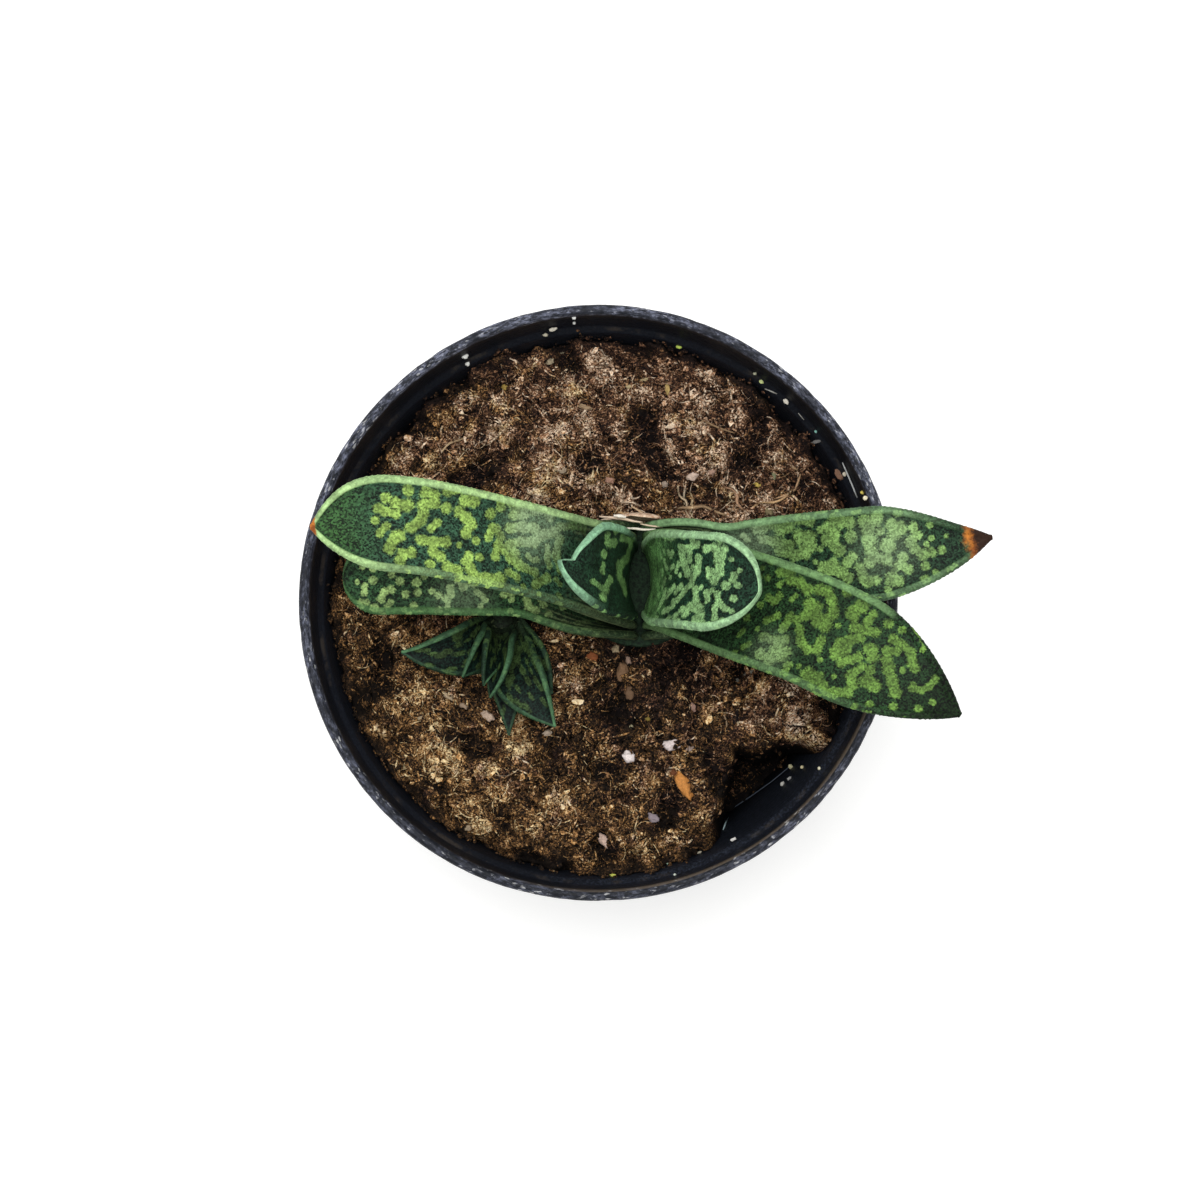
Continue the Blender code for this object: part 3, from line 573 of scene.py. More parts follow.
threads = {
    "peatShreds": {"count": 6600, "stations": 5, "lengths": (1.0, 1.6, 2.2, 3.0, 4.0), "width": (0.09, 0.22),
                   "curl": 0.6, "lift": (-0.15, 0.35), "arch": (-0.1, 0.5), "light": 0.0, "seed": 11},
    "peatFibres": {"count": 4200, "stations": 6, "lengths": (1.2, 1.8, 2.6, 3.4, 4.8), "width": (0.05, 0.10),
                   "curl": 0.9, "lift": (0.0, 0.5), "arch": (-0.1, 0.5), "light": 0.14, "seed": 12},
}
crumbs = {"count": 5500, "onWall": 900, "sizes": (0.2, 0.26, 0.34, 0.46, 0.68), "length": (0.8, 1.5),
          "breadth": (0.5, 0.9), "flatness": (0.18, 0.45), "tilt": 0.9, "rough": 0.9, "seed": 13}
wallCrumbs = {"ring": 47.5, "climb": 1.0, "length": (0.6, 1.4), "breadth": (0.5, 0.9), "flatness": (0.4, 0.8),
              "size": (0.4, 0.9), "tone": (0.0, 0.35)}
spread = {"reach": 46.6, "crown": (7.4, 4.2), "crownReach": 12.4, "shoot": (-17.4, -3.4), "shootReach": 3.2,
          "size": (0.7, 1.2), "wallGap": 0.7, "drop": 2.2}


def newHeap():
    return {"points": [], "faces": [], "values": []}


def addThread(heap, spots, width, value):
    # a thin three-sided thread through the spots, with one tone or colour; width is half of its breadth
    first, last = len(heap["points"]), len(spots) - 1
    for k, (x, y, z) in enumerate(spots):
        before, after = spots[max(k - 1, 0)], spots[min(k + 1, last)]
        heading = math.atan2(after[1] - before[1], after[0] - before[0])
        thin = width * (0.45 + 0.55 * math.sin(math.pi * min(max(k / last, 0.12), 0.88)))
        sx, sy = -math.sin(heading) * thin, math.cos(heading) * thin
        heap["points"] += [(x + sx, y + sy, z), (x, y, z - 0.7 * thin), (x - sx, y - sy, z + 0.3 * thin)]
        heap["values"] += [value] * 3
        if k:
            a = first + 3 * k - 3
            heap["faces"] += [(a + i, a + 3 + i, a + 3 + (i + 1) % 3, a + (i + 1) % 3) for i in range(3)]
    end = len(heap["points"]) - 3
    heap["faces"] += [(first, first + 1, first + 2), (end + 2, end + 1, end)]


def lumpShape(level):
    work = bmesh.new()
    bmesh.ops.create_icosphere(work, subdivisions=level, radius=1.0)
    work.verts.index_update()
    corners = np.array([corner.co[:] for corner in work.verts])
    sides = [[corner.index for corner in side.verts] for side in work.faces]
    work.free()
    return corners, sides


def addLump(heap, shape, place, sizes, heading, value, rough=0.5, tilt=0.0):
    # a knobbly lump with its long side along the heading, tipped about that side
    corners, sides = shape
    turn = np.array(Matrix.Rotation(heading, 3, "Z") @ Matrix.Rotation(tilt, 3, "X")).T
    knobs = [1 + rough * noise.noise(Vector(corner) * 1.9 + Vector(place) * 3.1) for corner in corners]
    first = len(heap["points"])
    heap["points"] += ((corners * np.array(knobs)[:, None] * sizes) @ turn + np.array(place)).tolist()
    heap["values"] += [value] * len(corners)
    heap["faces"] += [tuple(first + i for i in side) for side in sides]


def inPot(spots):
    # clear of the wall, and no thread hangs down a drop
    steps = [abs(after[2] - before[2]) for before, after in zip(spots, spots[1:])]
    clear = all(math.hypot(x, y) < mixReach(z) - spread["wallGap"] for x, y, z in spots)
    return clear and max(steps, default=0.0) < spread["drop"]


def randomSpot(draw):
    while True:
        angle, radius = draw.uniform(0, 2 * math.pi), spread["reach"] * math.sqrt(draw.random())
        spot = (radius * math.cos(angle), radius * math.sin(angle))
        if (math.dist(spot, spread["crown"]) > spread["crownReach"]
                and math.dist(spot, spread["shoot"]) > spread["shootReach"]):
            return spot


def peatTone(draw, x, y):
    # mostly brown, some straw, lighter and darker in loose drifts, with painted shade in the gaps, in pits,
    # low in the hollow and near the wall
    look = peatLook
    drift = look["drift"] * noise.noise(Vector((x, y, 21.0)) / look["driftSize"]) + 0.8 * peatDrift(x, y)
    tone = draw.gauss(look["middle"] + drift, look["spread"])
    tone += look["straw"] if draw.random() < look["strawShare"] else 0.0
    return min(1.0, max(0.0, tone * (0.2 + surfaceHeight(x, y)[1])))


def makeThreads(name, look):
    draw = random.Random(look["seed"])
    heap = newHeap()
    for _ in range(look["count"]):
        x, y = randomSpot(draw)
        length = draw.choice(look["lengths"]) * draw.uniform(*spread["size"])
        heading, curl = draw.uniform(0, 2 * math.pi), draw.uniform(-1.0, 1.0) * look["curl"]
        lift, arch = draw.uniform(*look["lift"]), draw.uniform(*look["arch"])
        tone = min(1.0, peatTone(draw, x, y) + look["light"])
        width, step, spots = draw.uniform(*look["width"]), length / look["stations"], []
        for k in range(look["stations"]):
            heading += curl * step
            x, y = x + math.cos(heading) * step, y + math.sin(heading) * step
            rise = arch * math.sin(math.pi * k / (look["stations"] - 1))
            spots.append((x, y, surfaceHeight(x, y)[0] + lift + rise))
        if inPot(spots):
            addThread(heap, spots, width, tone)
    makePiece(name, heap["points"], heap["faces"], peatFinish(name + "Finish", loose=True),
              {"tone": heap["values"]})


def crumbSizes(draw, look, size):
    return size * np.array([draw.uniform(*look[side]) for side in ("length", "breadth", "flatness")])


def makeCrumbs():
    draw, rough = random.Random(crumbs["seed"]), crumbs["rough"]
    heap, shape = newHeap(), lumpShape(1)
    for _ in range(crumbs["count"]):
        x, y = randomSpot(draw)
        size = draw.choice(crumbs["sizes"]) * draw.uniform(*spread["size"])
        sizes = crumbSizes(draw, crumbs, size)
        place = (x, y, surfaceHeight(x, y)[0] + 0.25 * size)
        heading, tilt, tone = draw.uniform(0, math.pi), draw.gauss(0, crumbs["tilt"]), peatTone(draw, x, y)
        if inPot([place]):
            addLump(heap, shape, place, sizes, heading, tone, rough, tilt)
    for _ in range(crumbs["onWall"]):       # bits that cling to the wall just above the mix
        angle = draw.uniform(0, 2 * math.pi)
        size = draw.choice(crumbs["sizes"]) * draw.uniform(*wallCrumbs["size"])
        way, ring = (math.cos(angle), math.sin(angle)), wallCrumbs["ring"]
        height = surfaceHeight(ring * way[0], ring * way[1])[0] + abs(draw.gauss(0, wallCrumbs["climb"]))
        place = (mixReach(height) * way[0], mixReach(height) * way[1], height)
        sizes = crumbSizes(draw, wallCrumbs, size)
        addLump(heap, shape, place, sizes, angle + 0.5 * math.pi, draw.uniform(*wallCrumbs["tone"]), rough)
    makePiece("peatCrumbs", heap["points"], heap["faces"], peatFinish("peatCrumb", loose=True),
              {"tone": heap["values"]}, sharp=40)


for threadName, threadLook in threads.items():
    makeThreads(threadName, threadLook)
makeCrumbs()
print("shreds, fibres and crumbs ready")


# Grains, chips and flakes that stand out: x, y, length, width, height, heading in degrees, colour

grains = [
    (13.1, -25.1, 3.1, 2.0, 1.8, 14, (214, 200, 196)), (5.5, -27.2, 2.4, 2.1, 1.7, -30, (222, 210, 206)),
    (15.3, -32.3, 5.2, 2.2, 1.5, -62, (190, 128, 66)), (13.7, -29.9, 1.6, 1.9, 1.5, -50, (142, 86, 52)),
    (-1.5, -9.0, 3.2, 1.5, 1.0, -25, (128, 74, 42)), (16.8, 22.8, 2.4, 1.5, 1.4, 20, (236, 208, 188)),
    (12.0, 21.7, 1.4, 1.3, 1.1, 0, (196, 176, 158)), (20.2, 23.6, 1.6, 1.2, 1.0, 10, (186, 150, 130)),
    (12.4, 38.7, 0.9, 2.5, 0.9, 8, (226, 192, 122)), (5.6, 39.1, 1.7, 0.9, 0.8, -8, (226, 204, 156)),
    (8.5, 40.6, 2.0, 0.8, 0.8, 12, (206, 184, 140)), (29.0, 21.6, 2.6, 1.0, 0.8, -20, (226, 196, 100)),
    (34.6, 24.6, 3.0, 0.7, 0.7, -28, (196, 160, 120)), (31.4, 22.9, 1.0, 1.5, 0.8, 0, (150, 152, 116)),
    (30.6, 16.6, 1.7, 1.8, 1.4, 0, (158, 142, 104)), (5.8, -21.8, 1.1, 0.8, 0.7, 0, (216, 206, 164)),
    (8.9, -20.4, 1.3, 1.0, 0.8, 10, (166, 142, 66)), (16.9, -18.3, 1.1, 2.0, 1.0, 12, (206, 164, 146)),
    (16.2, -25.9, 2.1, 1.3, 1.0, 40, (178, 156, 144)), (1.5, -30.4, 1.0, 1.3, 0.8, 0, (196, 144, 96)),
    (5.8, -31.5, 1.3, 0.9, 0.8, 0, (200, 152, 104)), (9.7, -38.0, 2.6, 1.6, 0.9, -25, (164, 150, 156)),
    (1.2, -42.1, 3.6, 1.7, 1.1, -40, (204, 176, 160)), (27.5, -12.0, 3.6, 1.1, 0.9, 18, (168, 162, 146)),
    (25.0, -13.6, 1.6, 1.3, 0.8, 60, (178, 172, 158)), (3.1, -7.8, 1.5, 1.6, 1.2, 0, (196, 174, 138)),
    (5.4, -10.0, 1.0, 2.2, 1.0, 14, (190, 158, 138)), (4.4, -12.2, 2.2, 3.2, 1.4, 10, (118, 90, 66)),
    (5.6, -15.6, 2.0, 2.6, 1.2, 10, (104, 80, 60)), (-6.4, 46.0, 1.6, 1.0, 0.8, 0, (196, 180, 150)),
    (-8.7, 43.8, 1.7, 1.1, 0.8, 30, (188, 170, 140)), (-6.5, 23.9, 1.6, 1.2, 1.0, 0, (214, 190, 160)),
    (-16.9, 39.2, 1.2, 1.2, 1.0, 0, (196, 164, 84)), (-26.8, -16.3, 2.4, 1.3, 0.9, -30, (222, 196, 160)),
    (-24.2, -18.0, 2.0, 1.1, 0.9, -24, (206, 178, 150)), (-19.7, -19.9, 2.8, 1.6, 1.1, -35, (210, 184, 162)),
    (-31.6, -20.2, 1.3, 1.1, 0.9, 0, (214, 188, 150)), (-7.2, -2.6, 1.7, 0.9, 0.8, -8, (176, 160, 70)),
    (-22.9, -39.8, 2.2, 1.2, 0.9, 20, (206, 182, 150)), (-9.0, -22.9, 2.4, 1.1, 0.9, 12, (206, 186, 164)),
    (2.1, 22.4, 2.0, 1.6, 1.0, 0, (190, 146, 124)), (-2.4, 35.5, 2.8, 0.9, 0.8, -15, (178, 150, 116)),
]
strands = [  # half width, colour and the spots that a curled fibre runs through
    (0.22, (214, 190, 156), (14.2, 21.2), (14.6, 19.6), (15.9, 18.6), (15.8, 17.0), (16.6, 15.4)),
    (0.18, (200, 176, 138), (16.4, 20.6), (16.9, 18.8), (16.4, 17.2), (17.0, 15.6)),
    (0.34, (172, 142, 108), (12.6, 16.9), (14.4, 17.6), (16.6, 17.4), (19.0, 17.8), (21.2, 16.8),
     (23.0, 16.2)),
    (0.30, (176, 138, 108), (22.7, 21.2), (24.0, 20.8), (24.9, 19.6), (24.8, 18.2), (26.0, 16.9)),
    (0.24, (188, 152, 116), (36.6, 24.6), (36.0, 22.6), (35.2, 20.6), (33.4, 19.4), (31.4, 18.8)),
    (0.22, (196, 160, 118), (27.4, 17.2), (29.0, 18.2), (31.0, 18.0), (33.0, 18.8), (34.8, 20.6)),
    (0.16, (176, 150, 120), (22.4, -19.7), (22.9, -21.0), (22.8, -22.6)),
    (0.22, (188, 160, 124), (-28.6, 26.8), (-26.8, 28.9), (-24.6, 30.0), (-22.6, 30.6)),
    (0.20, (150, 122, 92), (18.6, 33.2), (21.6, 31.9), (24.6, 31.0)),
    (0.26, (232, 210, 184), (0.1, 15.4), (2.2, 15.7), (4.0, 15.2), (5.6, 14.6)),
    (0.30, (240, 224, 200), (4.4, 13.9), (6.4, 13.5), (8.4, 13.4), (10.2, 13.6)),
    (0.24, (196, 160, 116), (1.4, 16.6), (3.6, 16.9), (5.8, 16.2), (8.0, 14.8), (10.6, 14.2)),
    (0.24, (206, 176, 140), (6.0, 17.8), (7.4, 17.0), (8.6, 15.8), (8.2, 14.8)),
]
flecks = [  # x, y, z, length, width, heading in degrees and colour of dirt on the pot's wall and lip
    (-23.7, 44.0, 86.6, 1.2, 0.9, 20, (226, 226, 220)), (-23.4, 42.9, 84.6, 0.8, 0.7, 0, (214, 214, 208)),
    (-4.3, 50.3, 90.4, 0.7, 0.7, 0, (222, 222, 218)), (-4.3, 49.8, 87.6, 0.5, 0.6, 0, (200, 200, 196)),
    (-8.1, 49.0, 85.6, 1.4, 0.7, 10, (206, 200, 184)), (-9.5, 48.3, 83.8, 0.9, 0.6, 0, (186, 180, 160)),
    (46.9, 18.1, 91.6, 0.8, 0.8, 0, (232, 222, 190)), (46.7, 19.4, 88.6, 0.8, 0.6, 0, (214, 196, 96)),
    (29.3, 40.0, 83.3, 0.9, 0.8, 0, (186, 196, 132)), (28.0, 41.2, 84.4, 0.6, 0.5, 0, (176, 176, 150)),
    (14.5, 46.4, 82.0, 1.0, 0.6, -8, (172, 190, 88)), (33.6, 36.3, 83.6, 1.1, 0.8, -40, (216, 210, 196)),
    (38.9, 30.9, 83.5, 0.5, 0.5, 0, (130, 180, 168)), (39.2, 29.2, 82.9, 1.9, 0.6, 10, (108, 106, 104)),
    (43.1, 23.2, 82.8, 2.2, 1.2, -60, (122, 92, 74)), (44.0, 23.2, 83.7, 0.7, 0.8, 0, (206, 196, 176)),
    (24.0, -41.8, 82.2, 1.1, 0.5, 24, (214, 212, 206)), (35.4, -28.7, 63.6, 0.8, 0.8, 0, (196, 190, 150)),
    (37.0, -28.9, 71.6, 0.6, 0.6, 0, (206, 196, 156)), (39.2, -29.2, 83.0, 0.5, 0.6, 0, (226, 220, 190)),
    (33.6, -31.9, 68.0, 0.9, 0.6, 50, (186, 184, 176)), (34.8, -30.9, 69.5, 0.9, 0.5, 40, (160, 160, 156)),
    (39.9, -32.1, 91.4, 0.5, 0.5, 0, (236, 232, 214)), (12.5, -46.2, 78.0, 0.6, 0.5, 0, (166, 196, 172)),
    (13.5, -48.0, 84.6, 0.5, 0.4, 0, (206, 214, 200)), (2.6, -48.2, 81.0, 1.1, 0.5, 0, (196, 200, 96)),
    (-8.2, -47.4, 79.6, 0.9, 0.5, 0, (176, 150, 110)), (18.1, -44.2, 77.4, 0.9, 0.4, 20, (176, 170, 150)),
]
wallLines = [  # half width, colour and the spots of pale and dark lines on the wall
    (0.16, (206, 208, 206), (43.4, 25.0, 86.2), (44.6, 22.6, 85.0), (45.5, 20.6, 84.5), (46.2, 18.9, 84.2)),
    (0.10, (150, 152, 154), (45.2, 23.8, 88.6), (46.4, 21.0, 88.2), (47.3, 18.6, 88.0)),
    (0.14, (176, 174, 166), (29.8, 38.7, 83.0), (31.0, 38.2, 83.2), (32.0, 37.7, 83.4)),
    (0.12, (180, 178, 170), (35.8, 34.2, 83.6), (36.8, 33.0, 83.5)),
    (0.16, (196, 222, 224), (24.2, -38.0, 60.0), (23.5, -39.0, 63.0), (22.8, -40.3, 67.5)),
    (0.11, (84, 92, 104), (21.6, -38.3, 53.4), (25.2, -36.4, 54.8), (28.7, -34.0, 56.6), (32.2, -31.4, 59.6),
     (35.2, -28.8, 62.8)),
]
# small scraps, by their area, lie half hidden, so they are shrunk, duller and rougher
scrapLook = {"seed": 14, "small": 4.5, "shrunk": 0.8, "duller": (0.7, 0.86), "rough": (0.5, 0.8), "sunk": 0.4,
             "strandLift": 0.7, "fleckHeight": 0.35, "grain": 0.35, "relief": 0.12}


def spineCurve(points, stations, crowding):
    # a curve through the points: places, headings and distances, closer together at the tip
    points = np.array(points, float)
    ends = np.vstack([2 * points[0] - points[1], points, 2 * points[-1] - points[-2]])
    t = (np.arange(60) / 60)[:, None]
    fine = []
    for i in range(1, len(ends) - 2):
        a, b, c, d = ends[i - 1:i + 3]
        fine.append(0.5 * (2 * b + (c - a) * t + (2 * a - 5 * b + 4 * c - d) * t ** 2
                           + (3 * b - a - 3 * c + d) * t ** 3))
    fine = np.vstack(fine + [points[-1:]])
    distance = np.concatenate([[0.0], np.cumsum(np.linalg.norm(np.diff(fine, axis=0), axis=1))])
    target = distance[-1] * (1 - (1 - np.arange(stations + 1) / stations) ** crowding)
    place = np.stack([np.interp(target, distance, fine[:, k]) for k in range(3)], axis=1)
    ahead = np.stack([np.interp(target + 0.4, distance, fine[:, k]) for k in range(3)], axis=1)
    behind = np.stack([np.interp(target - 0.4, distance, fine[:, k]) for k in range(3)], axis=1)
    way = ahead - behind
    return place, way / np.linalg.norm(way, axis=1)[:, None], target, distance[-1]


def makeScraps():
    look, draw, shape = scrapLook, random.Random(scrapLook["seed"]), lumpShape(3)
    heap, dirt = newHeap(), newHeap()
    for x, y, length, width, height, heading, colour in grains:
        place = (x, y, surfaceHeight(x, y)[0] + look["sunk"] * height)
        sizes, small = np.array([length, width, height]) / 2, length * width < look["small"]
        sizes *= look["shrunk"] if small else 1.0
        colour = toned(colour, draw.uniform(*look["duller"]) if small else 1.0)
        addLump(heap, shape, place, sizes, math.radians(heading), colour, look["rough"][small])
    for width, colour, *spots in strands:
        raised = [(x, y, surfaceHeight(x, y)[0] + look["strandLift"]) for x, y in spots]
        addThread(heap, spineCurve(raised, 12, 1.0)[0].tolist(), width, tint(*colour))
    for x, y, z, length, width, heading, colour in flecks:
        sizes = np.array([length, width, look["fleckHeight"]]) / 2
        addLump(dirt, shape, (x, y, z), sizes, math.radians(heading), tint(*colour))
    for width, colour, *spots in wallLines:
        addThread(dirt, spots, width, tint(*colour))
    for name, things in (("mixScraps", heap), ("rimFlecks", dirt)):
        finish = Finish(name + "Finish")
        grain = finish.noise(look["grain"], 3.0, 0.7)
        colour = (0.25 + grain * 1.4).shade(finish.colourField("stain"))
        finish.put(Base_Color=colour, Roughness=(0.7 + grain * 0.25).clamp(), Specular_IOR_Level=0.2,
                   Normal=finish.relief(grain, look["relief"]))
        makePiece(name, things["points"], things["faces"], finish.material,
                  {"stain": things["values"]})


makeScraps()
print("grains, strands and flecks ready")


# Leaves: tongues with a channelled face, a rounded back and a finely toothed horny margin

# leastTip is the half width at the very tip, its slope and how far that holds
leafForm = {"stations": 220, "across": 34, "band": 6, "wall": 4, "crowding": 1.35, "upperShare": 0.12,
            "leastTip": (0.16, 0.2, 3.0), "fullBy": 0.35, "tipShare": 0.22, "thinning": 0.42,
            "edge": 1.15, "bulge": 0.30, "marginWidth": 0.85, "bead": 0.15, "beadAt": (0.42, 0.34),
            "grooveAt": (1.15, 0.3), "groove": 0.8, "swell": 0.16, "swellUnder": 0.12,
            "swellSize": 9.0, "tooth": 0.13, "toothPitch": 0.85, "toothWander": 2.5, "notchRun": 15.0}
growth = {"tries": 600, "sizes": (0.7, 1.1), "pace": 1.7, "wander": 0.8}    # chains of blotches
leafLook = {"grit": 0.55, "speck": 0.27, "soft": 3.2, "ragged": 0.6, "lump": 1.5, "bloomSheenGrain": 1.6,
            "marginGrain": 1.2, "edges": (-0.26, 0.28), "blotchShare": (0.30, 0.65), "rootShare": 0.75,
            "tipRun": (3.0, 14.0), "tipShare": 0.8, "rootTone": (36, 54, 34), "rootRun": 4.0,
            "bloom": tint(158, 182, 142), "bloomSheenShare": 0.75, "flankShare": 0.65,
            "flankReach": (2.5, 5.0), "flankLines": 5.4, "flankLow": tint(30, 37, 26),
            "flankHigh": tint(98, 110, 76), "rimShare": 0.92, "rustLow": tint(118, 58, 24),
            "rustHigh": tint(200, 124, 48), "dry": tint(44, 27, 18), "relief": 0.07, "shine": 0.12}
